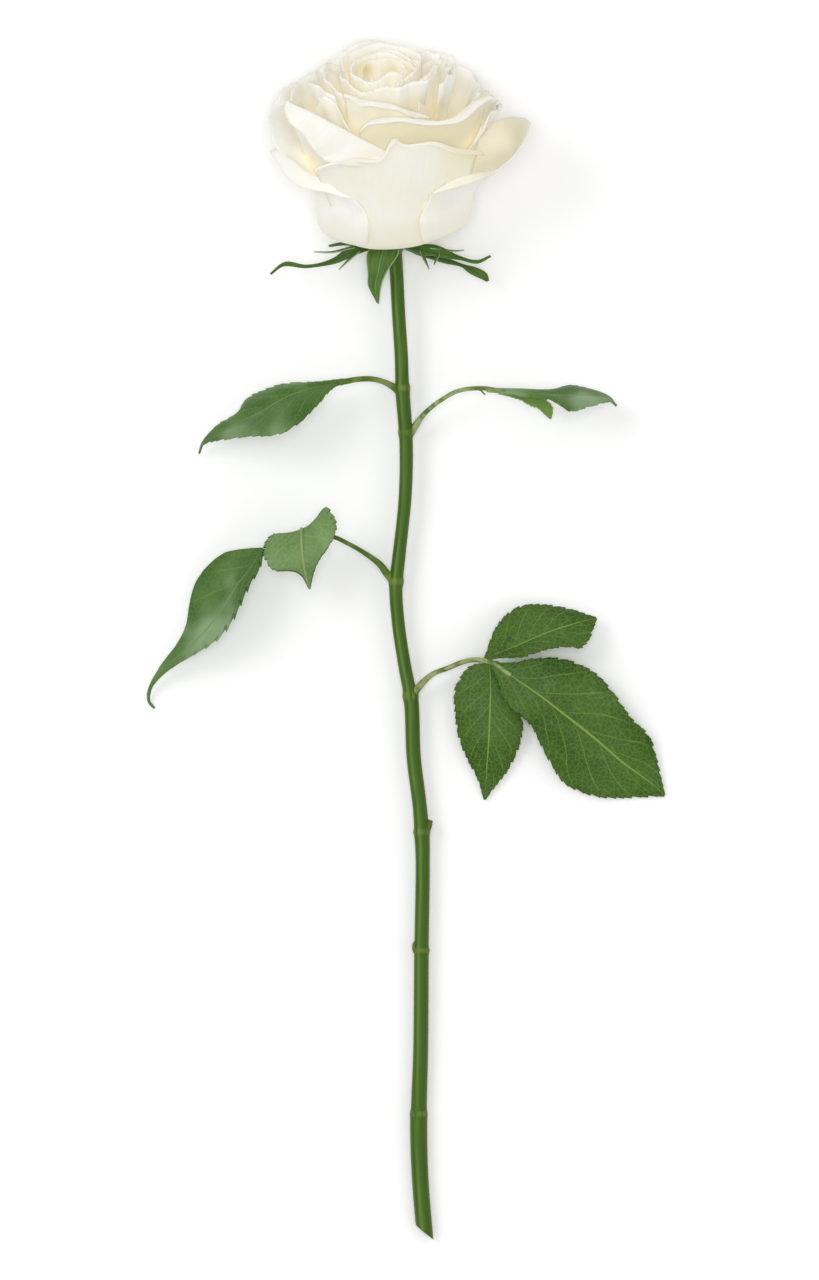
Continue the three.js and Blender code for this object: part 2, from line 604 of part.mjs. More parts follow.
/** The low petal at the front right, which opens into a broad lobe. */
const frontRight = [
  [
    [42, 4.5, 1.5], [51, 4.5, 1.5], [60, 4.5, 1.5], [70, 4.5, 1.5], [80, 4.5, 1.5], [90, 4.5, 1.5],
    [100, 4.5, 1.5],
  ],
  [
    [24, 24, 5], [39, 24, 5], [54, 24.3, 4.7], [70, 25, 4.5], [86, 24, 5], [103, 23.5, 5.5],
    [120, 22, 6.5],
  ],
  [
    [18, 30, 14.5], [34, 29.7, 12.5], [51, 29.5, 11.5], [68, 29.3, 11], [86, 29.3, 11],
    [104, 29, 11.5], [122, 28, 12.5],
  ],
  [
    [20, 30.3, 19], [35, 30.6, 20], [52, 30.3, 19], [69, 30.2, 18], [86, 30.3, 18.3],
    [104, 30, 19], [121, 29.3, 20],
  ],
  [
    [24, 31.3, 23], [37, 32.5, 26.5], [52, 34, 26], [68, 36, 24], [86, 36.5, 23.5], [103, 36, 24],
    [120, 33, 25.5],
  ],
  [
    [26, 32.5, 27], [38, 34.3, 30], [49, 37, 31.5], [60, 42, 31], [74, 44.5, 30], [95, 44, 30],
    [116, 38, 30],
  ],
  [
    [27.5, 34, 28], [37, 36.2, 28.5], [46, 41, 30], [58, 47.5, 35], [73, 52, 40], [93, 50, 41],
    [114, 42.5, 35.5],
  ],
];

/** The petal at the front between them, pinched to a point in the middle of its rim. */
const frontMiddle = [
  [
    [-30, 5, 3], [-23, 5, 3], [-15, 5, 3], [-7, 5, 3], [2, 5, 3], [9, 5, 3], [16, 5, 3],
    [23, 5, 3], [30, 5, 3],
  ],
  [
    [-46, 22, 4.5], [-34, 22.3, 4.2], [-22, 22.5, 4], [-9, 22.5, 4], [3, 22.5, 4], [13, 22.5, 4],
    [24, 22.5, 4], [35, 22.3, 4.2], [46, 22, 4.5],
  ],
  [
    [-48, 27.6, 13], [-36, 27.8, 12.6], [-23, 28, 12.5], [-9, 28, 12.5], [3, 28, 12.5],
    [14, 28, 12.5], [25, 28, 12.5], [36, 27.8, 12.6], [48, 27.6, 13],
  ],
  [
    [-47, 30, 22], [-35, 30, 22], [-21, 30, 22], [-8, 30, 22], [3, 30, 22], [14, 30, 22],
    [25, 30, 22], [36, 30.3, 22], [47, 30.5, 22],
  ],
  [
    [-45, 34.5, 31], [-34, 32.8, 32], [-20, 32, 32.5], [-6, 32, 33], [3, 32.2, 34], [12, 32, 33.5],
    [25, 32.2, 33], [38, 34.5, 31.5], [49, 38, 31.5],
  ],
  [
    [-41, 39.5, 40], [-32, 36.8, 42], [-19, 34.6, 43], [-5, 34.2, 43.2], [3, 35.4, 50.3],
    [11, 34.4, 47.2], [27, 35.4, 46.8], [38, 38, 43.8], [49, 42.5, 41.3],
  ],
  [
    [-41.5, 40.7, 39.6], [-32, 38, 41.3], [-19, 35.6, 42.3], [-5, 35, 42.3], [3.5, 36.3, 50],
    [11, 35.4, 46.4], [27, 36.6, 45.8], [39, 39.8, 42.5], [52.5, 44.2, 38],
  ],
];

/** The petal at the left with a broad rolled rim. */
const rolledLeft = [
  [[-70, 5, 4.5], [-58, 5, 4.5], [-46, 5, 4.5], [-34, 5, 4.5], [-22, 5, 4.5], [-10, 5, 4.5]],
  [[-82, 20, 7], [-66, 20.5, 7], [-50, 20.5, 7], [-34, 20.5, 7], [-18, 20.5, 7], [-2, 20.5, 7]],
  [[-84, 26, 20], [-67, 26, 19], [-50, 26, 19], [-33, 26, 19], [-16, 26, 19], [0, 26, 20]],
  [[-74, 31, 38], [-59, 30.5, 37], [-45, 29.5, 36], [-31, 28.7, 34], [-16, 28.5, 33.5], [-1, 28.3, 34]],
  [
    [-66, 37, 54], [-51, 34.8, 52.3], [-38, 32.5, 49.5], [-27, 30.6, 45.5], [-14, 29.4, 42],
    [-1, 29, 40.5],
  ],
  [
    [-60, 40, 62], [-45, 38, 60.2], [-32, 34.8, 55.8], [-22, 32.4, 51.7], [-11, 31, 47.8],
    [0, 30, 44],
  ],
  [
    [-56, 42.8, 62], [-45, 41.3, 58.6], [-34.5, 38, 52.8], [-26, 35.2, 47.5], [-13, 32.8, 45.3],
    [-1, 31.2, 43.2],
  ],
  [[-51, 45, 60.5], [-46, 43.3, 54.5], [-41, 40.5, 48.5], [-37, 38, 42.5], [-22, 35, 41], [-3, 32.3, 41]],
];

const farLeft = cupped({ claw: 5, foot: 4.5, belly: 27.5, neck: [0.2, 0.78] },
  [-122, 37, 46], [-106, 39.8, 48.5], [-91, 41.5, 48.5], [-76, 42, 45], [-64, 38.5, 38],
  [-54, 32.5, 31],
);

const farRight = cupped({ claw: 5, foot: 4.5, belly: 28 },
  [50, 34, 36], [59, 38, 44.5], [67, 40.5, 50], [78, 41.5, 50], [92, 42, 46.5], [112, 41, 42.5],
);

/** The long petal at the right, whose rim swings up to its end. */
const rolledRight = [
  [
    [-20, 5, 6], [-10, 5, 6], [0, 5, 6], [10, 5, 6], [20, 5, 6], [30, 5, 6], [40, 5, 6],
    [50, 5, 6], [60, 5, 6],
  ],
  [
    [-26, 17, 9], [-14, 18, 9], [-2, 18, 9], [11, 18, 9], [24, 18, 9], [37, 18, 9], [50, 18.5, 9],
    [63, 19, 9], [76, 19, 9],
  ],
  [
    [-27, 23, 23], [-15, 23, 22], [-2, 23.3, 22], [11, 23.5, 22], [25, 23.8, 22], [38, 24.3, 22],
    [52, 25, 22.5], [66, 26, 23], [80, 27, 24],
  ],
  [
    [-24, 25.3, 38], [-13, 25.3, 38.5], [-1, 25.5, 39], [11, 25.8, 39], [25, 26.2, 38],
    [38, 27.2, 37.5], [51, 29, 37.5], [64, 31.5, 38.5], [77, 33, 40],
  ],
  [
    [-21, 26.5, 50.3], [-12, 27, 54], [0, 27.7, 55.7], [12, 28, 55.2], [25, 28.4, 53],
    [38, 29.7, 51.3], [50, 32, 52], [59, 36.5, 55.8], [70, 39.5, 56],
  ],
  [
    [-21, 27, 49.9], [-12, 27.9, 53.4], [0, 28.8, 55], [12, 29.2, 54.5], [25, 29.8, 52.2],
    [38, 31.4, 50.4], [51, 34.2, 50.9], [60.5, 38.6, 54.2], [71.5, 41.4, 54],
  ],
];

/** The petal in front of the heart. */
const innerFront = [
  [[-40, 4, 9], [-26, 4, 9], [-10, 4, 9], [6, 4, 9], [20, 4, 9], [34, 4, 9]],
  [[-46, 13.5, 12], [-29, 14, 12], [-11, 14, 12], [7, 14, 12], [25, 14, 12], [42, 14, 12]],
  [[-44, 18.3, 28], [-28, 18.6, 27.5], [-10, 18.7, 27], [8, 19, 27], [25, 19.5, 27], [42, 20.5, 27]],
  [[-42, 20.3, 46], [-27, 20.4, 45.5], [-10, 20.6, 45], [8, 21, 44.5], [25, 21.6, 43.5], [41, 22.8, 42]],
  [[-39, 22, 61.5], [-25, 22, 60.6], [-9, 22, 59.8], [8, 22.2, 58], [24, 22.8, 55], [39, 24, 51.5]],
  [
    [-39, 22.9, 61], [-25, 23.2, 59.6], [-9, 23.3, 58.6], [8, 23.5, 56.8], [24, 24.1, 53.9],
    [39, 25.1, 50.6],
  ],
];

const pointedFront = cupped({ claw: 3.5, foot: 10, belly: 13.5 },
  [-34, 16.5, 61], [-17, 16.5, 63], [0, 16.7, 63.8], [16, 17.2, 64], [34, 18.2, 64], [50, 21, 65],
);

/** The five whorls, from the outside in. */
const whorls = {
  outer: [
    frontLeft,
    frontRight,
    cupped({ claw: 5, foot: 2.4, belly: 27 },
      [-182, 38, 38], [-168, 43, 42], [-152, 45, 44], [-136, 44, 42], [-122, 40, 38],
    ),
    cupped({ claw: 5, foot: 2.4, belly: 27 },
      [118, 41, 38], [132, 45, 42], [147, 45, 44], [162, 43, 42], [176, 38, 38],
    ),
  ],
  second: [
    frontMiddle,
    farLeft,
    farRight,
    cupped({ claw: 5, foot: 4.5, belly: 27 },
      [-162, 37, 50], [-146, 38.5, 53], [-131, 39.3, 53.5], [-118, 40.5, 52], [-107, 41.5, 49.5],
      [-96, 40, 46],
    ),
    cupped({ claw: 5, foot: 4.5, belly: 27 },
      [98, 40.5, 44], [112, 41.5, 45.5], [125, 39.7, 49.5], [137, 38, 53.5], [152, 37, 51],
    ),
    cupped({ claw: 5, foot: 4.5, belly: 27 },
      [146, 36, 47], [164, 39, 51], [182, 39.5, 52], [200, 37, 49],
    ),
  ],
  third: [
    rolledLeft,
    rolledRight,
    cupped({ claw: 5, foot: 6, belly: 24.5 },
      [-165, 31, 58], [-151, 33, 59.5], [-140, 35, 56], [-128, 36.7, 54.5], [-114, 36, 53],
      [-100, 33, 50],
    ),
    cupped({ claw: 5, foot: 6, belly: 24.5 },
      [102, 35, 49], [112, 36.5, 51], [122, 36, 54.5], [131, 34, 58], [141, 33, 59],
      [152, 32, 59.5], [164, 30, 56],
    ),
    cupped({ claw: 5, foot: 6, belly: 24.5 },
      [160, 31, 57], [176, 32, 60], [192, 31, 60], [206, 30, 56],
    ),
    cupped({ claw: 5, foot: 6, belly: 24.5 },
      [-112, 33, 50], [-96, 34, 53], [-80, 33.5, 55], [-66, 31, 54],
    ),
    cupped({ claw: 5, foot: 6, belly: 24.5 }, [66, 32, 52], [80, 33.5, 54], [94, 34, 53], [108, 33, 50]),
  ],
  fourth: [
    innerFront,
    pointedFront,
    cupped({ claw: 4.5, foot: 8, belly: 21 },
      [-80, 26, 42], [-66, 27.5, 51], [-56, 28.8, 59.5], [-49, 28.3, 62.5], [-40, 26.3, 59],
      [-28, 25.3, 49],
    ),
    cupped({ claw: 4.5, foot: 8, belly: 20 },
      [-110, 26, 58], [-93, 26.5, 61], [-76, 26, 63], [-61, 25, 63.5], [-48, 24, 61],
    ),
    cupped({ claw: 4.5, foot: 8, belly: 20 },
      [-208, 28, 58], [-194, 29, 62], [-178, 29, 64], [-162, 29, 65], [-148, 29.5, 60],
      [-133, 28, 56],
    ),
    cupped({ claw: 4.5, foot: 8, belly: 20 },
      [60, 23, 62], [74, 24.5, 62.5], [90, 25.5, 61], [106, 26.5, 60], [120, 27, 57],
    ),
    cupped({ claw: 4.5, foot: 8, belly: 20 },
      [112, 26, 58], [128, 27, 61], [145, 27, 62], [162, 26, 60],
    ),
    cupped({ claw: 4.5, foot: 8, belly: 20 },
      [-150, 26, 58], [-134, 26.5, 61], [-118, 26.5, 61], [-102, 25.5, 58],
    ),
  ],
  heart: [
    cupped({ claw: 3.5, foot: 10, belly: 16 },
      [-128, 20, 60], [-106, 20.5, 62], [-84, 21, 63.5], [-62, 21.5, 64], [-44, 21.5, 62],
    ),
    cupped({ claw: 3.5, foot: 10, belly: 16 },
      [134, 20, 63], [156, 20, 65.5], [180, 20, 66.5], [204, 20, 66], [226, 20.5, 63],
    ),
    cupped({ claw: 3.5, foot: 10, belly: 16 },
      [46, 18.6, 64], [66, 19, 66], [90, 19.5, 65], [114, 20.3, 63], [134, 20, 60],
    ),
    cupped({ claw: 3, foot: 12, belly: 12 },
      [-120, 14.5, 62], [-96, 15, 63.5], [-72, 15.3, 64], [-48, 15.5, 63], [-26, 15.3, 60.5],
    ),
    cupped({ claw: 3, foot: 12, belly: 12 },
      [110, 13, 62], [138, 13.5, 65], [166, 13.5, 66.5], [194, 13.5, 66], [222, 14, 64],
    ),
    cupped({ claw: 3, foot: 12, belly: 12 },
      [26, 14.5, 63], [50, 14.8, 65], [76, 14.5, 65], [102, 14, 64], [126, 13, 61],
    ),
    cupped({ claw: 2.5, foot: 14, belly: 6.5 },
      [-76, 11, 63.5], [-40, 9.5, 62], [0, 8, 62.5], [34, 7.8, 64.5], [64, 8.2, 65.5],
    ),
    cupped({ claw: 2.5, foot: 14, belly: 6.5 },
      [98, 8, 64], [134, 8.6, 65.5], [170, 9.6, 66.5], [208, 11, 66], [246, 11.5, 63.5],
    ),
    cupped({ claw: 2, foot: 16, belly: 4 }, [-20, 3, 60], [20, 4, 62.5], [60, 5, 64], [104, 5, 62]),
  ],
};

/** Faces across and along each petal of a whorl, and how far its rim waves in and out. */
const whorlFinish = {
  outer: { columns: 5, rows: 5, ripple: 0.5 },
  second: { columns: 5, rows: 5, ripple: 0.5 },
  third: { columns: 4, rows: 4, ripple: 0.45 },
  fourth: { columns: 4, rows: 4, ripple: 0.45 },
  heart: { columns: 3, rows: 4, ripple: 0.3 },
};

function petalSolid(stops, order, { columns, rows, ripple }) {
  const surface = petalSurface(stops);
  const middle = (u, v) => {
    const { x: turn, y: radius, z: height } = surface(u, v);
    const wave = ripple * Math.sin(3.1 * Math.PI * u + order) * smoothstep(v, 0.7, 1);
    const [reach, around] = [Math.max(radius + wave, 2), degToRad(turn)];
    const place = inBloom(reach * Math.sin(around), height, reach * Math.cos(around));
    place.z = Math.max(place.z, PETAL_THICKNESS / 2);
    return place;
  };
  const across = Math.max(columns, stops[0].length - 1);
  const along = Math.max(rows, stops.length - 1);
  return solid(blade(middle, () => PETAL_THICKNESS, across, along));
}

function bloomSolid() {
  const core = new THREE.LatheGeometry([
    [0, SEAT_GAP], [4.6, SEAT_GAP], [6.5, 2.5], [7.5, 6], [7, 11], [5, 16], [2.5, 20], [0, 21],
  ].map(([r, y]) => new THREE.Vector2(r, y)), 12);
  const petals = Object.entries(whorls).flatMap(([whorl, list]) => list.map((stops) => [whorl, stops]));
  return fuse([
    solid(core, bloomPlace),
    ...petals.map(([whorl, stops], order) => petalSolid(stops, order, whorlFinish[whorl])),
  ]);
}

// ---- The rose --------------------------------------------------------------------------------

const matte = (red, green, blue, roughness) => {
  const color = new THREE.Color(red, green, blue);
  return new THREE.MeshStandardMaterial({ color, roughness, metalness: 0 });
};
const stemGreen = matte(0.16, 0.26, 0.07, 0.45);
const sepalGreen = matte(0.17, 0.28, 0.08, 0.5);
const leafGreen = matte(0.1, 0.2, 0.05, 0.5);
const petalWhite = matte(0.86, 0.83, 0.72, 0.6);

const rose = new THREE.Group();
rose.add(
  mesh('stem', stemSolid(), stemGreen),
  mesh('calyx', calyxSolid(), sepalGreen),
  mesh('bloom', bloomSolid(), petalWhite),
  mesh('leaf_upper_left', leafUpperLeft(), leafGreen),
  mesh('leaf_upper_right', leafUpperRight(), leafGreen),
  mesh('leaf_middle_left', leafMiddleLeft(), leafGreen),
  mesh('leaf_lower_right', leafLowerRight(), leafGreen),
);

// The origin is the middle of the rose's footprint, on the table.
const reach = new THREE.Box3().setFromObject(rose);
const middle = reach.getCenter(point(0, 0, 0));
rose.position.set(-middle.x, -middle.y, -reach.min.z);

export default rose;
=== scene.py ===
import math

import bpy
import numpy as np
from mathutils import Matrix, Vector
from mathutils.bvhtree import BVHTree


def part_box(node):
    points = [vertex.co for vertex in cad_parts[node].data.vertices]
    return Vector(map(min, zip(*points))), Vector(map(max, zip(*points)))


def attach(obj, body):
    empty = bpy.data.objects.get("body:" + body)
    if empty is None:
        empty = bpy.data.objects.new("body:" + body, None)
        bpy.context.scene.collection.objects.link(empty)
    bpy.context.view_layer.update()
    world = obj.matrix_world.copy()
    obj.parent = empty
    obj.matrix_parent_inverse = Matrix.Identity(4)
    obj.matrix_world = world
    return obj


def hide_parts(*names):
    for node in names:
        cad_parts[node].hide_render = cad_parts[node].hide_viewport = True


# A cut white rose laid down on a pale table and seen from straight above. Its sizes are in
# millimetres in the rose's own drawing, which has the stem's foot near 0, 0, 0 and the table at
# z = 0. STEM_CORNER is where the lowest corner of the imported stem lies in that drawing.
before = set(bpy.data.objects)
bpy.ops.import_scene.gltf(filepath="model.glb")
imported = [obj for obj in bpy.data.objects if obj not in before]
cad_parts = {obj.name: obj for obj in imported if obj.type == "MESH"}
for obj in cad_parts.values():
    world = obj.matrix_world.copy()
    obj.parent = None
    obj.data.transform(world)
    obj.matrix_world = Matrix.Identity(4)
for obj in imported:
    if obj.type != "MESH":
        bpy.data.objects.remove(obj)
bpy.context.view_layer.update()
bpy.ops.object.select_all(action="DESELECT")

MM = 0.001
STEM_CORNER = (-6.055, 0.306, 0.239)
drawing_origin = np.array(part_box("stem")[0]) - np.array(STEM_CORNER) * MM


def at(points):
    """Places in the drawing, in millimetres, as places in the frame, in metres."""
    return np.asarray(points, float) * MM + drawing_origin


# --- Camera: it stands high above the middle of the rose and looks straight down. Its lens takes in
# a length on the table that is a little more than the rose's own.
ROSE_MIDDLE = (1.6, 216)
CAMERA_HEIGHT = 4000
FRAMED_LENGTH = 460.8
SENSOR_WIDTH = 36
bpy.ops.object.camera_add(location=at([*ROSE_MIDDLE, CAMERA_HEIGHT]), rotation=(0, 0, 0))
camera = bpy.context.active_object
camera.data.sensor_width = SENSOR_WIDTH
camera.data.lens = SENSOR_WIDTH * CAMERA_HEIGHT / FRAMED_LENGTH
bpy.context.scene.camera = camera


# --- Stem: one green shoot, cut slantwise at its foot and swollen at each node. Its bark is satin
# green with fine lighter streaks along it, yellowish at the nodes and brownish down one side, with
# a painted highlight just left of its middle and a lighter painted left edge, as lit from the upper left.
def smooth_line(points, count):
    """Evenly spaced places on a smooth curve through given points."""
    points = np.asarray(points, float)
    before = 2 * points[0] - points[1]
    after = 2 * points[-1] - points[-2]
    knots = np.vstack([before, points, after])
    spans = np.linalg.norm(np.diff(knots, axis=0), axis=1) ** 0.5
    stretches = []
    for i in range(1, len(knots) - 2):
        a, b, c, d = knots[i - 1:i + 3]
        ab, bc, cd = spans[i - 1:i + 2]
        leave = ((b - a) / ab - (c - a) / (ab + bc) + (c - b) / bc) * bc
        reach = ((c - b) / bc - (d - b) / (bc + cd) + (d - c) / cd) * bc
        t = np.linspace(0, 1, 40)[:, None]
        stretches.append(b + leave * t + (3 * (c - b) - 2 * leave - reach) * t**2
                         + (2 * (b - c) + leave + reach) * t**3)
    fine = np.vstack(stretches)
    run = np.append(0, np.cumsum(np.linalg.norm(np.diff(fine, axis=0), axis=1)))
    steps = np.linspace(0, run[-1], count)
    return np.stack([np.interp(steps, run, fine[:, k]) for k in range(3)], axis=1)


def pick(*chosen):
    """Selects objects and makes the first of them the active one."""
    bpy.ops.object.select_all(action="DESELECT")
    for one in chosen:
        one.select_set(True)
    bpy.context.view_layer.objects.active = chosen[0]


def rod(name, line, radii, sides=4):
    """A round rod: a curve with a bevel, made a closed mesh."""
    curve = bpy.data.curves.new(name, "CURVE")
    curve.dimensions = "3D"
    curve.bevel_depth = MM
    curve.bevel_resolution = sides
    curve.use_fill_caps = True
    curve.twist_mode = "Z_UP"
    spline = curve.splines.new("POLY")
    spline.points.add(len(line) - 1)
    radii = np.broadcast_to(radii, len(line))
    for point, place, radius in zip(spline.points, at(line), radii):
        point.co = (*place, 1)
        point.radius = radius
    made = bpy.data.objects.new(name, curve)
    bpy.context.collection.objects.link(made)
    pick(made)
    bpy.ops.object.convert(target="MESH")
    bpy.ops.object.mode_set(mode="EDIT")
    bpy.ops.mesh.select_all(action="SELECT")
    bpy.ops.mesh.remove_doubles(threshold=1e-6)
    bpy.ops.mesh.normals_make_consistent(inside=False)
    bpy.ops.object.mode_set(mode="OBJECT")
    bpy.ops.object.shade_smooth()
    return bpy.context.active_object


def ball(name, centre, size):
    """A small squashed ball, such as a bud."""
    bpy.ops.mesh.primitive_uv_sphere_add(segments=20, ring_count=12, radius=MM, location=at(centre))
    bpy.ops.transform.resize(value=size)
    bpy.ops.object.transform_apply(location=True, rotation=True, scale=True)
    bpy.ops.object.shade_smooth()
    made = bpy.context.active_object
    made.name = name
    return made


def join(name, parts):
    """One piece made of several meshes."""
    pick(*parts)
    bpy.ops.object.join()
    piece = bpy.context.active_object
    piece.name = name
    piece.data.name = name
    return piece


def points_of(made):
    """The places of a mesh's points, one row each."""
    flat = np.empty(len(made.data.vertices) * 3)
    made.data.vertices.foreach_get("co", flat)
    return flat.reshape(-1, 3)


def mark(made, name, values):
    """Keeps a value for each point of a mesh, which its material reads by that name."""
    made.data.attributes.new(name, "FLOAT", "POINT").data.foreach_set("value", values)


class Paint:
    """A socket in a material's nodes. Sums written on it add Math nodes."""

    def __init__(self, tree, socket=None):
        self.tree = tree
        self.socket = socket

    def node(self, kind, settings=(), inputs=(), out=0):
        """Adds a node, sets it up, feeds its sockets and gives back one of its outputs."""
        made = self.tree.nodes.new("ShaderNode" + kind)
        for name, setting in dict(settings).items():
            setattr(made, name, setting)
        for key, value in dict(inputs).items():
            if isinstance(value, Paint):
                self.tree.links.new(value.socket, made.inputs[key])
            else:
                made.inputs[key].default_value = value
        return Paint(self.tree, made.outputs[out])

    def math(self, operation, *values):
        return self.node("Math", {"operation": operation}, enumerate(values))

    def __add__(self, other):
        return self.math("ADD", self, other)

    def __radd__(self, other):
        return self.math("ADD", other, self)

    def __sub__(self, other):
        return self.math("SUBTRACT", self, other)

    def __rsub__(self, other):
        return self.math("SUBTRACT", other, self)

    def __mul__(self, other):
        return self.math("MULTIPLY", self, other)

    def __truediv__(self, other):
        return self.math("DIVIDE", self, other)

    def __pow__(self, other):
        return self.math("POWER", self, other)

    def __abs__(self):
        return self.math("ABSOLUTE", self)

    def fade(self, low, high, start=0.0, end=1.0):
        """start below low, end above high, and a soft change between them."""
        return self.node("MapRange", {"interpolation_type": "SMOOTHSTEP"},
                         enumerate([self, low, high, start, end]))

    def noise(self, scale, detail):
        return self.node("TexNoise", {}, {"Vector": self, "Scale": scale, "Detail": detail})

    def stretched(self, scale):
        return self.node("Mapping", {}, {"Vector": self, "Scale": scale})

    def marked(self, name):
        """The value that each point of the mesh was given under this name."""
        return self.node("Attribute", {"attribute_name": name}, out="Fac")


def srgb(red, green, blue):
    """A colour given in the 0 to 255 steps of a colour chart."""
    return (*(((c / 255 + 0.055) / 1.055) ** 2.4 for c in (red, green, blue)), 1)


def mixed(low, high, mask):
    """The first colour where the mask is 0 and the second where it is 1."""
    return mask.node("Mix", {"data_type": "RGBA"}, {0: mask, 6: low, 7: high}, out=2)


def material(name, paint, specular=0.15, fixed=(), bump=0.3, relief=0.2):
    """A material whose paint varies with the place on the surface and whose fixed settings don't."""
    made = bpy.data.materials.new(name)
    made.use_nodes = True
    shader = made.node_tree.nodes["Principled BSDF"]
    for key, value in {"Specular IOR Level": specular, **dict(fixed)}.items():
        shader.inputs[key].default_value = value
    place = Paint(made.node_tree).node("TexCoord", out="Object")
    for key, value in paint(place).items():
        if key == "Height":
            bumped = value.node("Bump", {}, {"Height": value, "Strength": bump, "Distance": relief * MM})
            made.node_tree.links.new(bumped.socket, shader.inputs["Normal"])
        else:
            made.node_tree.links.new(value.socket, shader.inputs[key])
    return made


BLOOM_BASE = np.array([-4, 361, 16.6])
BLOOM_TILT = math.radians(24)
BLOOM_LEAN = math.radians(4)
HIP_LENGTH = 6.5
STEM_STEPS = 480


def in_bloom(x, y, z):
    """Places in the bloom's own frame, Y along its axis and Z to its upper side, in the drawing."""
    x, y, z = np.broadcast_arrays(x, y, z)
    ahead = y * math.cos(BLOOM_TILT) - z * math.sin(BLOOM_TILT)
    up = y * math.sin(BLOOM_TILT) + z * math.cos(BLOOM_TILT)
    across = x * math.cos(BLOOM_LEAN) - ahead * math.sin(BLOOM_LEAN)
    ahead = x * math.sin(BLOOM_LEAN) + ahead * math.cos(BLOOM_LEAN)
    return np.stack([across, ahead, up], axis=-1) + BLOOM_BASE


stem_line = smooth_line([
    [7.8, -6, 3.0], [5.4, 23, 3.2], [4.9, 43, 3.5], [5.6, 68, 4.1], [5.9, 104, 4.8], [6.3, 140, 5.6],
    [5.4, 155, 5.9], [3.1, 174, 6.3], [2.2, 194, 6.7], [0, 206, 7.0], [-2.3, 221, 7.3], [-3.3, 235, 7.6],
    [-2.2, 246, 7.8], [0, 267, 8.3], [0.4, 286, 8.7], [-1.0, 307, 9.2], [-1.3, 317, 9.6],
    [-2.3, 333, 10.9], in_bloom(0, -2.2 * HIP_LENGTH, 0), in_bloom(0, -HIP_LENGTH, 0),
], STEM_STEPS)

# The stem's radius at places along it, and its nodes: the place, half length and height of each.
stem_girth = np.array([
    [0, 2.95], [23, 3.0], [38, 3.1], [44, 3.1], [48, 2.85], [68, 2.7], [101, 2.65], [107, 2.6], [137, 2.55],
    [145, 2.75], [149, 2.7], [156, 2.55], [190, 2.65], [195, 2.7], [199, 2.4], [212, 2.3], [230, 2.35],
    [238, 2.45], [256, 2.3], [267, 2.35], [290, 2.45], [304, 2.6], [311, 2.45], [333, 2.4], [356, 2.5],
])
stem_nodes = [
    (45.7, 1.6, 0.25), (104.4, 1.5, 0.35), (147, 1.8, 0.4), (196, 2, 0.35), (237, 2, 0.4), (290.5, 1.8, 0.3),
    (306.5, 1.8, 0.4),
]
radii = np.interp(stem_line[:, 1], stem_girth[:, 0], stem_girth[:, 1])
for place, half, height in stem_nodes:
    radii += height * np.exp(-2 * ((stem_line[:, 1] - place) / half) ** 2)
shoot = rod("stem_shoot", stem_line, radii, sides=8)

# The foot is cut slantwise with one stroke of the knife.
FOOT_SLANT = math.radians(-40)
bpy.ops.object.mode_set(mode="EDIT")
bpy.ops.mesh.select_all(action="SELECT")
bpy.ops.mesh.bisect(
    plane_co=at([7, 3, 0]), plane_no=(-math.sin(FOOT_SLANT), math.cos(FOOT_SLANT), 0),
    use_fill=True, clear_inner=True,
)
bpy.ops.object.mode_set(mode="OBJECT")

# A cut stub and two buds sit at three of its nodes.
stub = rod("bud_stub", smooth_line([[6.6, 144.8, 6], [8.2, 148.4, 6.6], [9.1, 151.2, 7]], 16),
           np.linspace(1.6, 0.95, 16))
side_bud = ball("side_bud", [3.4, 105.5, 5.4], (0.9, 2.2, 1.2))
bud_eye = ball("bud_eye", [3.8, 46.8, 6.1], (1.0, 1.5, 0.9))


def stem_paint(place):
    fibres = place.stretched((700, 30, 700)).noise(1, 3)
    blotches = place.stretched((90, 25, 90)).noise(1, 2)
    foot = at([0, 0, 0])[1]
    along = place.node("SeparateXYZ", {}, {0: place}, out=1)
    flank = place.marked("flank")
    green = mixed(srgb(50, 82, 18), srgb(72, 102, 30), fibres.fade(0.3, 0.7))
    green = mixed(green, srgb(60, 94, 22), blotches.fade(0.4, 0.6))
    # Painted highlight: a lighter stripe just left of the stem's middle, where light from the upper left
    # falls.
    painted_highlight = abs(flank + 0.3 + (blotches - 0.5) * 0.5).fade(0.02, 0.36, 1, 0)
    green = mixed(green, srgb(104, 134, 58), painted_highlight * fibres.fade(0.2, 0.65, 0.25, 0.7))
    # Painted light: the stem's left edge is a lighter green, as lit from the upper left.
    green = mixed(green, srgb(92, 124, 40), flank.fade(-0.95, -0.75, 1, 0) * 0.6)
    green = mixed(green, srgb(98, 88, 50), flank.fade(0.6, 0.95) * blotches.fade(0.35, 0.6) * 0.7)
    scars = 0
    for node_place, half, _ in stem_nodes:
        scars = scars + abs(along - (foot + node_place * MM)).fade(0.2 * half * MM, 0.9 * half * MM, 1, 0)
    green = mixed(green, srgb(140, 152, 76), scars.math("MINIMUM", scars, 1) * fibres.fade(0.35, 0.6) * 0.32)
    return {"Base Color": green, "Roughness": fibres.fade(0.2, 0.8, 0.34, 0.5), "Height": fibres}


stem_bark = material("stem_bark", stem_paint, relief=0.15)
for part in (shoot, stub, side_bud, bud_eye):
    part.data.materials.append(stem_bark)
stem = join("rose_stem", [shoot, stub, side_bud, bud_eye])

# How far each point lies to the right of the stem's middle line, as a share of its radius.
spots = points_of(stem)
line = at(stem_line)
to_right = (spots[:, 0] - np.interp(spots[:, 1], line[:, 1], line[:, 0])) / MM
mark(stem, "flank", np.clip(to_right / np.interp(spots[:, 1], line[:, 1], radii), -1, 1))
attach(stem, "root")
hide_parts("stem")


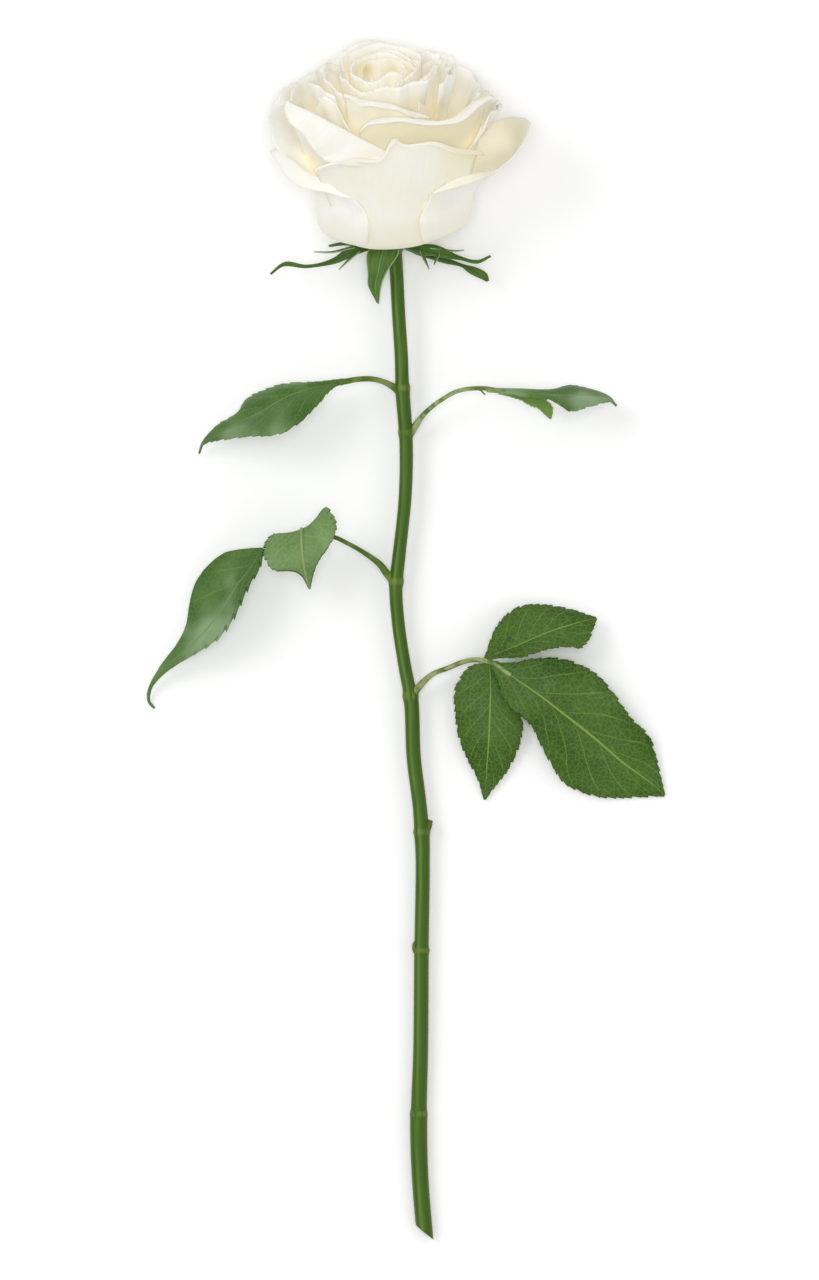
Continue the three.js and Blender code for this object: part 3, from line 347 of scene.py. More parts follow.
# --- Leaves: each is a stalk with one to three thin toothed leaflets. The upper face is a satin
# deep green with a net of sunk veins, and the back is paler with the midrib standing out. Soft
# lighter patches of painted sheen lie on both faces.
def smoothstep(value, low, high):
    """0 below low, 1 above high, and a soft rise between them."""
    t = np.clip((np.asarray(value, float) - low) / (high - low), 0, 1)
    return t * t * (3 - 2 * t)


def grid(name, columns, rows):
    """A flat grid with its points' place across, -1 to 1, and along, 0 to 1."""
    bpy.ops.mesh.primitive_grid_add(x_subdivisions=columns, y_subdivisions=rows, size=2)
    made = bpy.context.active_object
    made.name = name
    flat = points_of(made)
    return made, flat[:, 0], (flat[:, 1] + 1) / 2


def set_points(made, points):
    made.data.vertices.foreach_set("co", at(points).ravel())
    made.data.update()


def thicken(made, thickness, back_material=0):
    """Gives a sheet its thickness, half to each side, and a smooth finish."""
    pick(made)
    wall = made.modifiers.new("wall", "SOLIDIFY")
    wall.thickness = thickness * MM
    wall.offset = 0
    wall.material_offset = back_material
    bpy.ops.object.modifier_apply(modifier=wall.name)
    bpy.ops.object.shade_smooth()


def on_line(line, share):
    """Places at shares of the length of an evenly spaced line."""
    steps = np.linspace(0, 1, len(line))
    return np.stack([np.interp(share, steps, line[:, k]) for k in range(3)], axis=-1)


LEAF_WALL = 0.35
TOOTH_DEPTH = 1.0
TOOTH_STEPS = 8
TOOTH_RISE, TOOTH_FALL = 0.8, 0.2  # the shares of a tooth's length over which it rises and drops back
MARGIN_STEPS = 600
STALK_STEPS = 90


def leaflet(name, looks, rib, left, right, arch=1.0, teeth=22, toothed=(1, 1), columns=28, wave=0.3):
    """A thin blade between a midrib and two margins. looks are its face and its back, and toothed
    says how deep the teeth of its left and right margins are."""
    made, u, v = grid(name, columns, TOOTH_STEPS * teeth)
    middle, left_line, right_line = (smooth_line(points, MARGIN_STEPS) for points in (rib, left, right))
    phase = (v * teeth) % 1
    tooth = np.where(phase < TOOTH_RISE, phase / TOOTH_RISE, (1 - phase) / TOOTH_FALL)
    uneven = 0.75 + 0.25 * np.sin(2.7 * np.floor(v * teeth) + np.sign(u))
    edge = smoothstep(np.abs(u), 0.75, 1) * np.where(u < 0, *toothed) * uneven
    reach = np.clip(v + 0.6 * tooth * np.minimum(edge, 1) / teeth, 0, 1)
    centre = on_line(middle, v)
    margin = np.where((u < 0)[:, None], on_line(left_line, reach), on_line(right_line, reach))
    half = np.linalg.norm(margin - centre, axis=1)
    bite = np.minimum(TOOTH_DEPTH * edge / np.maximum(half, 0.1), 0.3) * (1 - tooth)
    points = centre + (margin - centre) * (np.abs(u) * (1 - bite))[:, None]
    across = on_line(right_line, 0.5) - on_line(left_line, 0.5)
    facing = np.cross(across, on_line(middle, 0.51) - on_line(middle, 0.49))
    facing /= np.linalg.norm(facing)
    lift = arch * np.sin(np.pi * np.abs(u)) * np.sin(np.pi * v)
    lift += wave * u**2 * np.sin(np.pi * v) * np.sin(17 * v + 2 * np.sign(u))
    set_points(made, points + facing * lift[:, None])
    for look in looks:
        made.data.materials.append(look)
    thicken(made, LEAF_WALL, back_material=1)
    below = middle[::6]
    below_girth = np.linspace(0.55, 0.12, len(below)) * min(max(toothed), 1) + 0.1
    below = below - facing * below_girth[:, None]
    vein = rod(name + "_midrib", below, below_girth, sides=2)
    vein.data.materials.append(leaf_rib)
    return [made, vein]


def stalk(name, points, base, tip, look):
    """A leaf stalk, thicker where it joins the stem."""
    line = smooth_line(points, STALK_STEPS)
    girth = base + (tip - base) * smoothstep(np.linspace(0, 1, STALK_STEPS), 0, 0.35)
    made = rod(name, line, girth, sides=5)
    made.data.materials.append(look)
    return made


VEIN_PAIRS = 7
VEIN_LEAN = 0.32


def veins(place):
    """The leaf's veins from its UV map: the midrib, the curved side veins and the fine net."""
    uv = place.node("UVMap", {"uv_map": "UVMap"})
    across, along = (uv.node("SeparateXYZ", {}, {0: uv}, out=k) for k in range(2))
    side = across - 0.5
    far = abs(side) * 2
    midrib = far.fade(0.008, 0.035, 1, 0)
    start = along - far ** 0.8 * VEIN_LEAN + side.math("SIGN", side) * (0.25 / VEIN_PAIRS)
    step = start * VEIN_PAIRS + place.noise(90, 2) * 0.25
    line = abs(step.math("FRACT", step) - 0.5)
    width = far * 0.016 + 0.022
    branches = (line / width).fade(0.4, 1.5, 1, 0) * far.fade(0.6, 0.95, 1, 0.15)
    cells, fine = (
        place.node("TexVoronoi", {"feature": "DISTANCE_TO_EDGE"}, {"Vector": place, "Scale": scale})
        for scale in (560, 1500)
    )
    net = cells.fade(0, 0.12, 1, 0) * 0.7 + fine.fade(0, 0.16, 1, 0) * 0.3
    return midrib, branches, net


def leaf_paint(dark, light, vein_colour, painted_sheen, painted_sheen_share=0.4):
    def paint(place):
        midrib, branches, net = veins(place)
        tone = place.noise(70, 3)
        green = mixed(dark, light, tone.fade(0.35, 0.65))
        # Painted sheen: soft lighter patches of the sheen colour, as light glancing off the leaf.
        green = mixed(green, painted_sheen, place.noise(38, 2).fade(0.48, 0.7) * painted_sheen_share)
        green = mixed(green, vein_colour, net * 0.32)
        green = mixed(green, vein_colour, branches * 0.42)
        green = mixed(green, vein_colour, midrib * 0.85)
        height = 1 - midrib - branches * 0.8 - net * 0.35
        return {"Base Color": green, "Roughness": tone.fade(0.3, 0.7, 0.4, 0.52), "Height": height}
    return paint


leaf_face = material(
    "leaf_face", leaf_paint(srgb(38, 73, 12), srgb(56, 90, 24), srgb(130, 158, 70), srgb(78, 110, 58)),
    relief=0.45,
)
leaf_back = material(
    "leaf_back", leaf_paint(srgb(94, 126, 68), srgb(114, 144, 88), srgb(146, 172, 114), srgb(130, 156, 112)),
    specular=0.2, relief=0.3,
)
# A leaf face in lighter greens, with a little more real gloss and strong patches of painted sheen.
glossy_painted_sheen_face = material(
    "glossy_painted_sheen_face",
    leaf_paint(srgb(54, 92, 28), srgb(78, 114, 50), srgb(110, 142, 76), srgb(140, 166, 126), painted_sheen_share=0.8),
    specular=0.25, relief=0.35,
)
young_face = material(
    "young_face", leaf_paint(srgb(78, 116, 34), srgb(104, 140, 58), srgb(150, 178, 94), srgb(124, 156, 86)),
    relief=0.4,
)


def rib_paint(place):
    tone = place.noise(150, 2)
    return {"Base Color": mixed(srgb(118, 148, 84), srgb(148, 172, 112), tone), "Height": tone}


def stalk_paint(place):
    tone = place.noise(120, 3)
    green = mixed(srgb(72, 100, 32), srgb(124, 142, 74), tone.fade(0.35, 0.65))
    return {"Base Color": green, "Roughness": tone.fade(0.3, 0.7, 0.38, 0.5), "Height": tone}


def pale_stalk_paint(place):
    streaks = place.stretched((260, 260, 900)).noise(1, 3)
    flush = place.noise(45, 2).fade(0.5, 0.72)
    green = mixed(srgb(84, 110, 48), srgb(148, 164, 108), streaks.fade(0.38, 0.62))
    green = mixed(green, srgb(150, 128, 92), flush * 0.4)
    return {"Base Color": green, "Roughness": streaks.fade(0.3, 0.7, 0.4, 0.5), "Height": streaks}


leaf_stalk = material("leaf_stalk", stalk_paint)
pale_stalk = material("pale_stalk", pale_stalk_paint)
leaf_rib = material("leaf_rib", rib_paint)
satin = (leaf_face, leaf_back)
glossy_painted_sheen = (glossy_painted_sheen_face, leaf_back)


def leaf(node, parts):
    """Joins a leaf's stalks and blades into the piece that stands for its node."""
    piece = join("rose_" + node, parts)
    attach(piece, "root")
    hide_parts(node)


# The upper left leaf droops from a short stalk, its near half hanging below the midrib.
leaf("leaf_upper_left", [
    stalk("stalk_ul", [[-0.5, 303.6, 8.3], [-4.6, 307.2, 9.6], [-10.8, 309.5, 13.4], [-17.3, 309.4, 17.3],
                       [-24, 308.1, 18.9]], 1.6, 1.0, leaf_stalk),
    *leaflet(
        "blade_ul", glossy_painted_sheen,
        rib=[[-19.6, 309, 18], [-30.2, 306.9, 19.5], [-41.7, 303.3, 19.5], [-53.3, 296.8, 17],
             [-65.4, 291.3, 12], [-72.2, 287.1, 7.2], [-74, 283.1, 3.6]],
        left=[[-19.6, 308, 18.6], [-25.5, 306.2, 21], [-30.2, 300.7, 25], [-37.4, 293.7, 29],
              [-45.6, 289.3, 29], [-57.2, 288.4, 22.5], [-66.8, 287.4, 14], [-72.6, 285.7, 7],
              [-73.8, 282.9, 3.2]],
        right=[[-19.6, 310, 17.6], [-30.2, 308.9, 17], [-43.7, 307.9, 13.5], [-52.8, 305.2, 10],
               [-56.8, 303.2, 8.6], [-60.5, 297.4, 9.8], [-67.6, 293.2, 8.6], [-72.8, 287.4, 5.6],
               [-74.3, 283.3, 3.5]],
    ),
])

# The upper right leaf is seen almost edge on, with one small leaflet under it and a stipule.
leaf("leaf_upper_right", [
    stalk("stalk_ur", [[0.4, 287.5, 8.1], [4.0, 293.4, 9.6], [7.6, 297.9, 11.5], [13.8, 302.6, 14.8],
                       [19.4, 305.4, 17.2], [27.4, 306.2, 19], [36, 305, 20]], 1.5, 0.8, pale_stalk),
    stalk("stipule_ur", [[26, 306.1, 18.6], [27.4, 305.2, 18.4], [28.7, 303.9, 18]], 0.6, 0.3, pale_stalk),
    *leaflet(
        "blade_ur", glossy_painted_sheen,
        rib=[[29.2, 306, 19.4], [44.7, 304.3, 20.5], [59.6, 303.7, 20], [66.8, 303.3, 18.4],
             [73.1, 302.4, 15.6], [75.8, 300, 12.4]],
        left=[[29.8, 306.5, 19], [42.7, 305.7, 17], [53.3, 305.8, 13], [58.2, 307.2, 11.5],
              [63, 307.1, 10.6], [67.8, 306, 10.6], [73.6, 303.2, 11.6], [76.1, 300.2, 12.1]],
        right=[[29.8, 305.5, 19.6], [45.6, 302.4, 23], [51.9, 301.6, 26], [55.4, 300, 28],
               [59.1, 297.8, 28.6], [65.9, 299, 26], [73.6, 301.2, 17], [75.6, 299.8, 12.8]],
        teeth=18,
    ),
    *leaflet(
        "small_blade_ur", (young_face, young_face),
        rib=[[34, 305, 18.6], [43, 302.6, 15], [49.5, 299.6, 12], [52.3, 295.5, 9]],
        left=[[34.4, 305.4, 18.4], [42, 305.6, 12.5], [49.5, 303.7, 9.5], [53.2, 299.5, 9],
              [52.6, 295.4, 8.8]],
        right=[[33.8, 304.6, 18.8], [38, 303, 17.6], [42.7, 301, 16], [47.5, 298.7, 13], [52, 295.4, 9.3]],
        arch=0.4, teeth=14,
    ),
])

# The middle left leaf arches over: its end leaflet hangs and curls at its drawn-out tip, and its
# side leaflet folds over towards the light.
leaf("leaf_middle_left", [
    stalk("stalk_ml", [[-3.0, 235.4, 7.2], [-6.8, 240.2, 8.4], [-9.1, 243.2, 9.9], [-15.1, 247.6, 12.6],
                       [-20.5, 250.6, 14.6], [-25.2, 252.8, 15.9], [-36.7, 254.4, 17.2], [-45, 252.4, 17.6],
                       [-54, 243.6, 18.2]], 1.5, 0.8, leaf_stalk),
    *leaflet(
        "end_blade_ml", glossy_painted_sheen,
        rib=[[-50.9, 248.8, 18.2], [-54.8, 242.5, 18.8], [-60.2, 235.4, 18.6], [-65.5, 227, 17],
             [-72.1, 218.6, 14.5], [-79.9, 211.5, 11], [-87, 205.5, 7.6], [-91.6, 199, 4.2],
             [-92.2, 193.8, 1.9], [-90.2, 191.4, 1.2]],
        left=[[-50.6, 248.4, 18.4], [-51.8, 241.3, 21.5], [-54.4, 236.9, 23.5], [-59.9, 225.2, 24.5],
              [-63.8, 219.2, 23], [-68.5, 214.5, 20], [-74.5, 210.9, 16], [-79.9, 208.2, 12.8],
              [-86.6, 203.9, 8], [-91, 198.8, 4.4], [-91.7, 194.1, 2.2], [-90, 191.8, 1.4]],
        right=[[-51.1, 249.2, 17.9], [-57.2, 248.8, 14], [-65, 247.3, 10.2], [-70.9, 242.5, 7.4],
               [-75.1, 236.6, 6], [-77.5, 229.4, 6], [-79, 221, 6.8], [-82, 214.5, 7.4],
               [-88.4, 206.1, 5.6], [-92.5, 198.6, 3.2], [-92.7, 193.7, 1.6], [-90.4, 191.1, 1]],
        arch=-1.0, teeth=15, toothed=(4, 0.15),
    ),
    *leaflet(
        "side_blade_ml", satin,
        rib=[[-36.8, 253.2, 17.6], [-37, 255.6, 23], [-36.8, 248.5, 28.4], [-35.8, 240.6, 28.4],
             [-34.2, 234.2, 24.4]],
        left=[[-37.4, 253.2, 17.6], [-43.5, 253.9, 21.5], [-48, 253.7, 22.6], [-50.6, 250.3, 23.2],
              [-50.2, 244.3, 24], [-47.2, 240.9, 25], [-39.9, 240.6, 27], [-37.2, 239, 26.6],
              [-34.4, 234.1, 24.4]],
        right=[[-36.2, 253.2, 17.6], [-32, 258.4, 22.4], [-28, 263.8, 24.4], [-24.2, 257.6, 24.2],
               [-25.8, 251.6, 24.8], [-30.8, 244.3, 26.2], [-32.4, 240.1, 26.2], [-33.9, 234.3, 24.4]],
        arch=1.5, teeth=20,
    ),
])

# The lower right leaf lies flat, and its broad end leaflet covers part of its lower neighbour.
leaf("leaf_lower_right", [
    stalk("stalk_lr", [[1.6, 194.0, 6.6], [4.2, 198.2, 7.8], [9.7, 203.6, 9.8], [15.3, 205.9, 10.9],
                       [20.8, 208.1, 11.5], [25.6, 208.9, 11.7], [31, 207.9, 12],
                       [38, 203.3, 13]], 1.5, 0.9, pale_stalk),
    *leaflet(
        "end_blade_lr", satin,
        rib=[[30, 208.4, 12], [39, 202.6, 13.4], [48.4, 196, 14], [55.6, 190.5, 13.4], [67.7, 181.1, 10.6],
             [78.7, 171.7, 6.8], [89.2, 164, 3], [93.4, 160.1, 1.4]],
        left=[[30.6, 208.8, 11.8], [37.4, 208, 12.6], [46.8, 209.7, 13], [52.8, 210, 12.4],
              [59.4, 208.8, 11.4], [68.8, 204.1, 9.4], [74.9, 197.4, 8], [81.5, 188.2, 6.6],
              [88, 181.6, 4.6], [90.9, 172.8, 2.6], [93.6, 160.6, 1.3]],
        right=[[30.4, 207.6, 11.8], [32.6, 202.8, 12.2], [34.3, 197.4, 12], [37, 192.3, 11.6],
               [41.8, 188.3, 11], [45.7, 184.1, 10], [49, 177.2, 8.4], [52.4, 171.1, 6.8], [56.4, 164.9, 5],
               [60.4, 162.3, 3.8], [68.2, 159.6, 2.4], [75.4, 158.9, 1.6], [84.2, 159.2, 1.3],
               [93.1, 159.6, 1.3]],
        arch=0.8, teeth=30, columns=36,
    ),
    *leaflet(
        "upper_blade_lr", satin,
        rib=[[28, 208.9, 11.8], [39.6, 213.6, 13.2], [53.4, 219.4, 12.4], [61.5, 222, 10.4],
             [68.8, 223.8, 7.4]],
        left=[[28.4, 209.6, 11.4], [31.9, 219.5, 9.4], [36.3, 225.4, 7.2], [41.2, 228.4, 5.4],
              [50.1, 228.8, 4.6], [58.4, 227.6, 4.6], [68.6, 224.2, 7]],
        right=[[28.8, 208.6, 12], [35, 209.4, 14.4], [42.4, 209.6, 16.4], [53.4, 213, 17.4],
               [59.4, 213.3, 16.6], [62.9, 212.7, 15.4], [65.7, 215, 13], [69, 223.3, 7.6]],
    ),
    *leaflet(
        "lower_blade_lr", satin,
        rib=[[30.2, 208.2, 11.2], [30.7, 199.8, 8.8], [30.5, 189.9, 7.4], [30, 178.9, 5.8],
             [29.4, 170.6, 4], [28.7, 158.6, 1.4]],
        left=[[30.9, 208, 11], [36.3, 203.1, 7], [40.2, 196.5, 5.6], [42.2, 188.3, 5], [42.6, 184.4, 4.6],
              [40.7, 176.1, 3.6], [36.8, 168.4, 2.8], [32.4, 162.9, 2], [29.1, 158.5, 1.4]],
        right=[[29.4, 208, 11], [23.1, 206.8, 9], [19.9, 203.1, 7.8], [17.4, 197.6, 6.8], [17.6, 191, 6.2],
               [19, 181.1, 5.2], [22.3, 172.8, 4], [25.8, 166.2, 2.8], [28.3, 158.5, 1.4]],
        teeth=24,
    ),
])


# --- Calyx: the green hip at the stem's top and its five sepals, folded back under the bloom. A
# sepal is a leaflet with plain margins, and some have narrow pointed lobes at their sides.
def sepal(name, rib, left, right):
    return leaflet(name, (sepal_face, sepal_back), rib, left, right,
                   arch=0.5, teeth=6, toothed=(0, 0), columns=16, wave=0.15)


def sepal_paint(dark, light):
    def paint(place):
        uv = place.node("UVMap", {"uv_map": "UVMap"})
        streaks = uv.stretched((14, 2, 1)).noise(1, 3)
        tone = place.noise(160, 3)
        green = mixed(dark, light, streaks.fade(0.35, 0.65) * 0.6 + tone.fade(0.3, 0.7) * 0.4)
        far = abs(uv.node("SeparateXYZ", {}, {0: uv}, out=0) - 0.5) * 2
        green = mixed(green, srgb(186, 200, 166), far.fade(0.9, 1) * 0.6)
        return {"Base Color": green, "Roughness": tone.fade(0.3, 0.7, 0.42, 0.55), "Height": streaks}
    return paint


sepal_face = material("sepal_face", sepal_paint(srgb(46, 80, 18), srgb(80, 114, 44)), specular=0.2)
sepal_back = material("sepal_back", sepal_paint(srgb(54, 88, 24), srgb(90, 122, 54)), specular=0.2)
LOBE_FACING = np.array([0, 0.9, 0.4])
LOBE_WALL = 0.4


def lobe(name, width, points):
    """A narrow pointed lobe at a sepal's side, folded along its middle."""
    line = smooth_line(points, 120)
    made, u, v = grid(name, 6, 24)
    ahead = np.minimum(v + 0.02, 1)
    along = on_line(line, ahead) - on_line(line, ahead - 0.02)
    along /= np.linalg.norm(along, axis=1)[:, None]
    up = LOBE_FACING - along * (along @ LOBE_FACING)[:, None]
    up /= np.linalg.norm(up, axis=1)[:, None]
    half = width / 2 * (1 - 0.9 * v**1.3)
    sideways = np.cross(along, up) * (u * half)[:, None]
    set_points(made, on_line(line, v) + sideways + up * (0.3 * np.abs(u) * half)[:, None])
    made.data.materials.append(sepal_face)
    thicken(made, LOBE_WALL)
    return made


# The hip is a rod along the bloom's axis, given by its radius and its height on that axis.
hip_line = smooth_line([
    [2.5, -HIP_LENGTH, 0], [3.3, -5.2, 0], [4.3, -3.4, 0], [4.7, -1.8, 0], [4.4, -0.5, 0], [3.6, 0, 0],
], 24)
hip = rod("hip", in_bloom(0, hip_line[:, 1], 0), hip_line[:, 0], sides=8)
hip.data.materials.append(sepal_back)

calyx = join("rose_calyx", [
    hip,
    *sepal(
        "left_sepal",
        rib=[[-5.5, 359, 15.8], [-13, 357, 16], [-20, 354.6, 16], [-30.2, 350.2, 15.6], [-38.6, 350.1, 15],
             [-43.4, 350.8, 14.4], [-48.2, 347.2, 13]],
        left=[[-5.6, 357.4, 15.4], [-13, 355.6, 16.4], [-18, 353.7, 17], [-25.8, 350.7, 16.6],
              [-35.1, 349.4, 15.8], [-43.6, 349.9, 14.8], [-48, 347, 13.2]],
        right=[[-5.4, 360, 14.6], [-13, 358.6, 14.8], [-20.2, 356.7, 15], [-25.8, 352.9, 15.2],
               [-35.1, 350.4, 15], [-43, 351.6, 14.2], [-48.4, 347.6, 12.9]],
    ),
    lobe("left_lobe", 2.2, [[-18, 356.8, 15.2], [-26, 355, 14.6], [-32.6, 355.2, 14]]),
    lobe("left_lower_lobe", 2.0, [[-16.5, 355.4, 16.6], [-19.8, 352.4, 17.4], [-23.7, 348.7, 17.6]]),
    *sepal(
        "front_sepal",
        rib=[[-7, 358.6, 19.4], [-8.4, 353.5, 21.4], [-9.6, 347.4, 21.4], [-10.6, 342.6, 20],
             [-9.8, 336.7, 18]],
        left=[[-10.4, 359, 17.6], [-13.6, 354.6, 19.6], [-13.4, 347.1, 20.2], [-13.3, 343.2, 19.6],
              [-10.2, 336.9, 17.9]],
        right=[[-3.6, 358.6, 19.4], [-2.2, 354.8, 21.6], [-5.6, 349.2, 22.4], [-8.2, 344, 21.6],
               [-9.4, 336.5, 18.2]],
    ),
    *sepal(
        "right_sepal",
        rib=[[-2.4, 358.4, 16.4], [8.4, 355.5, 16.2], [18.9, 353.1, 15.4], [26, 351.6, 14.8],
             [30.7, 353.7, 15.2]],
        left=[[-2.2, 359.6, 15.4], [6, 358, 15], [11.4, 357.6, 14.8], [18.9, 353.9, 14.9],
              [26, 352.2, 14.5], [30.4, 354, 15]],
        right=[[-2.6, 357.2, 17.2], [6.2, 354, 17.2], [10.7, 353.6, 17], [19, 352.3, 15.9], [26, 351, 15.1],
               [31, 353.4, 15.4]],
    ),
    lobe("right_lobe", 2.2, [[9, 356.6, 15.2], [17, 355.4, 14.8], [21.2, 355.8, 14.6]]),
    lobe("right_lower_lobe", 1.8, [[6, 355.6, 17], [7, 352.4, 17.8], [8.7, 348.8, 18]]),
    lobe("right_small_lobe", 1.8, [[11.6, 354.6, 16.8], [11.2, 352.4, 17.4], [10.4, 350.4, 17.6]]),
    *sepal(
        "leafy_sepal",
        rib=[[-1.6, 358, 13.4], [7, 354.6, 12.6], [14, 352.4, 12], [20.4, 350.4, 11.2], [26, 347.4, 10.2],
             [29.8, 345, 9.4]],
        left=[[-1.2, 359.2, 13], [7.4, 356.2, 12.2], [14.4, 353.4, 11.6], [20.6, 350.9, 11],
              [26, 349.6, 10], [29.4, 347.6, 9.4], [30.2, 345, 9.2]],
        right=[[-2, 356.8, 13.8], [6.6, 353.4, 13.2], [13.6, 351.4, 12.4], [20.2, 349.9, 11.4],
               [22.7, 347.9, 11], [27.1, 345.7, 10.2], [29.4, 344.6, 9.6]],
    ),
    *sepal(
        "back_sepal",
        rib=[[-6, 359.6, 12.6], [-14, 359.2, 11], [-22, 358.4, 10.4], [-27.4, 357.4, 10.2]],
        left=[[-5.6, 358.2, 12], [-14, 357, 10.6], [-22, 357.8, 10.2], [-27.2, 357.1, 10.2]],
        right=[[-6.4, 360.8, 12.4], [-14, 361, 10.4], [-22, 359, 10.2], [-27.6, 357.8, 10.2]],
    ),
])
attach(calyx, "root")
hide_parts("calyx")


# --- Bloom: thirty-five thin velvety petals in five whorls round the axis. Each springs from the
# hip, bellies out, and flares or rolls over at its rim. They are creamy white. A painted pale yellow
# glow, with a faint emission, stands in for light that has gone through several of them in the gaps,
# and painted yellow shade deepens the hollows between the inner petals and some petals' faces.
def glide(stops, t):
    """Smooth values between evenly spaced stops, for as many t from 0 to 1 as stops has columns."""
    ends = 2 * stops[[0, -1]] - stops[[1, -2]]
    knots = np.concatenate([ends[:1], stops, ends[1:]])
    place = np.clip(t, 0, 1) * (len(stops) - 1)
    first = np.minimum(place.astype(int), len(stops) - 2)
    f = (place - first).reshape(-1, *[1] * (stops.ndim - 2))
    a, b, c, d = (knots[first + k, np.arange(len(t))] for k in range(4))
    return b + 0.5 * f * (c - a + f * (2 * a - 5 * b + 4 * c - d + f * (3 * (b - c) + d - a)))


CRUMPLED_TURN, CRUMPLED_REACH = 122, 22  # the rims outside the heart are crumpled round this turn
FLAT_SPOT = 0.4  # the least height of the middle of a petal's wall: the lowest are pressed flat


def petal_places(order, rows, u, v, ripple, lip=0):
    """Places on a petal through rows of stops from claw to rim, each a turn, a radius and a height."""
    rows = np.array(rows, float)
    v = v - lip * (1 + np.sin(3.3 * np.pi * u + order)) * smoothstep(v, 0.8, 1)
    stops = np.broadcast_to(rows[:, None], (len(rows), len(v), *rows.shape[1:]))
    across = glide(stops, v).transpose(1, 0, 2)
    turn, radius, height = glide(across, (u + 1) / 2).T
    wave = ripple * np.sin(3.1 * np.pi * u + order) * smoothstep(v, 0.7, 1)
    crimp = 0.4 * ripple * np.sin(11 * np.pi * u + 2 * order) * smoothstep(v, 0.9, 1)
    crumpled = np.exp(-((turn - CRUMPLED_TURN) / CRUMPLED_REACH) ** 2) * smoothstep(v, 0.8, 0.98)
    crumpled *= smoothstep(radius, 20, 24)
    crimp += crumpled * (0.6 * np.sin(5 * np.pi * u + order) + 0.4 * np.sin(9 * np.pi * u + 3 * order))
    sunk = ripple * (1 + np.sin(2.3 * np.pi * u + 2.1 * order)) * smoothstep(v, 0.7, 1)
    radius = np.maximum(radius + wave + crimp, 2)
    turn = np.radians(turn)
    points = in_bloom(radius * np.sin(turn), height - sunk + crimp, radius * np.cos(turn))
    points[:, 2] = np.maximum(points[:, 2], FLAT_SPOT)
    return points


def row(turns, radii, heights):
    """One row of stops across a petal. A radius or a height that stays the same is given once."""
    return np.stack(np.broadcast_arrays(turns, radii, heights), axis=1)


def cupped(claw, foot, belly, *rim, neck=(0.35, 0.7)):
    """The rows of a petal that rises from its claw over a belly and a neck to its rim."""
    turn, reach, top = row(*rim).T
    middle = turn.mean()
    return [
        np.stack([middle + wide * (turn - middle), radius + 0 * turn, foot + share * (top - foot)], axis=1)
        for wide, radius, share in (
            (0.5, claw, 0), (1.05, 0.8 * belly, 0.06), (1.15, belly, 0.34),
            (1.1, belly + neck[0] * (reach - belly), neck[1]), (1, reach, 1),
        )
    ]


front_left = [
    row([-100, -90, -80, -70, -60, -51, -42], 4.5, 1.5),
    row([-122, -104, -87, -70, -54, -39, -24], [22, 23.3, 24, 24, 24, 24, 24], [6, 5.5, 5, 5, 5, 5.2, 5.5]),
    row([-126, -106, -88, -70, -52, -34, -17], [26, 27, 27, 28, 28.6, 29.2, 30],
        [13, 12.5, 12, 12, 12, 13, 15]),
    row([-124, -105, -87, -70, -52, -35, -18], [27, 27.5, 27.5, 28.2, 29.3, 30, 30.4],
        [20, 19.5, 19.5, 19.5, 20, 21.5, 21]),
    row([-122, -104, -87, -71, -54, -38, -22], [30, 31, 31.5, 32.3, 32.2, 32.2, 31.5],
        [25, 25.5, 26.5, 28, 28, 27.5, 25]),
    row([-120, -101, -82, -65, -51, -37, -25], [34, 36.5, 37.8, 37.5, 35.6, 33.6, 32.4],
        [30, 33, 37.5, 38.3, 35, 30.8, 27.5]),
    row([-118, -99, -82, -66, -51, -37, -28], [38, 40.5, 42, 41.8, 39.6, 35.6, 33.8],
        [32, 35, 37, 35.5, 31.3, 29.2, 28.5]),
]
front_right = [
    row([42, 51, 60, 70, 80, 90, 100], 4.5, 1.5),
    row([24, 39, 54, 70, 86, 103, 120], [24, 24, 24.3, 25, 24, 23.5, 22], [5, 5, 4.7, 4.5, 5, 5.5, 6.5]),
    row([18, 34, 51, 68, 86, 104, 122], [30, 29.7, 29.5, 29.3, 29.3, 29, 28],
        [14.5, 12.5, 11.5, 11, 11, 11.5, 12.5]),
    row([20, 35, 52, 69, 86, 104, 121], [30.3, 30.6, 30.3, 30.2, 30.3, 30, 29.3],
        [19, 20, 19, 18, 18.3, 19, 20]),
    row([24, 37, 52, 68, 86, 103, 120], [31.3, 32.5, 34, 36, 36.5, 36, 33],
        [23, 26.5, 26, 24, 23.5, 24, 25.5]),
    row([26, 38, 49, 60, 74, 95, 116], [32.5, 34.3, 37, 42, 44.5, 44, 38], [27, 30, 31.5, 31, 30, 30, 30]),
    row([27.5, 37, 46, 58, 73, 93, 114], [34, 36.2, 41, 47.5, 52, 50, 42.5],
        [28, 28.5, 30, 35, 40, 41, 35.5]),
]
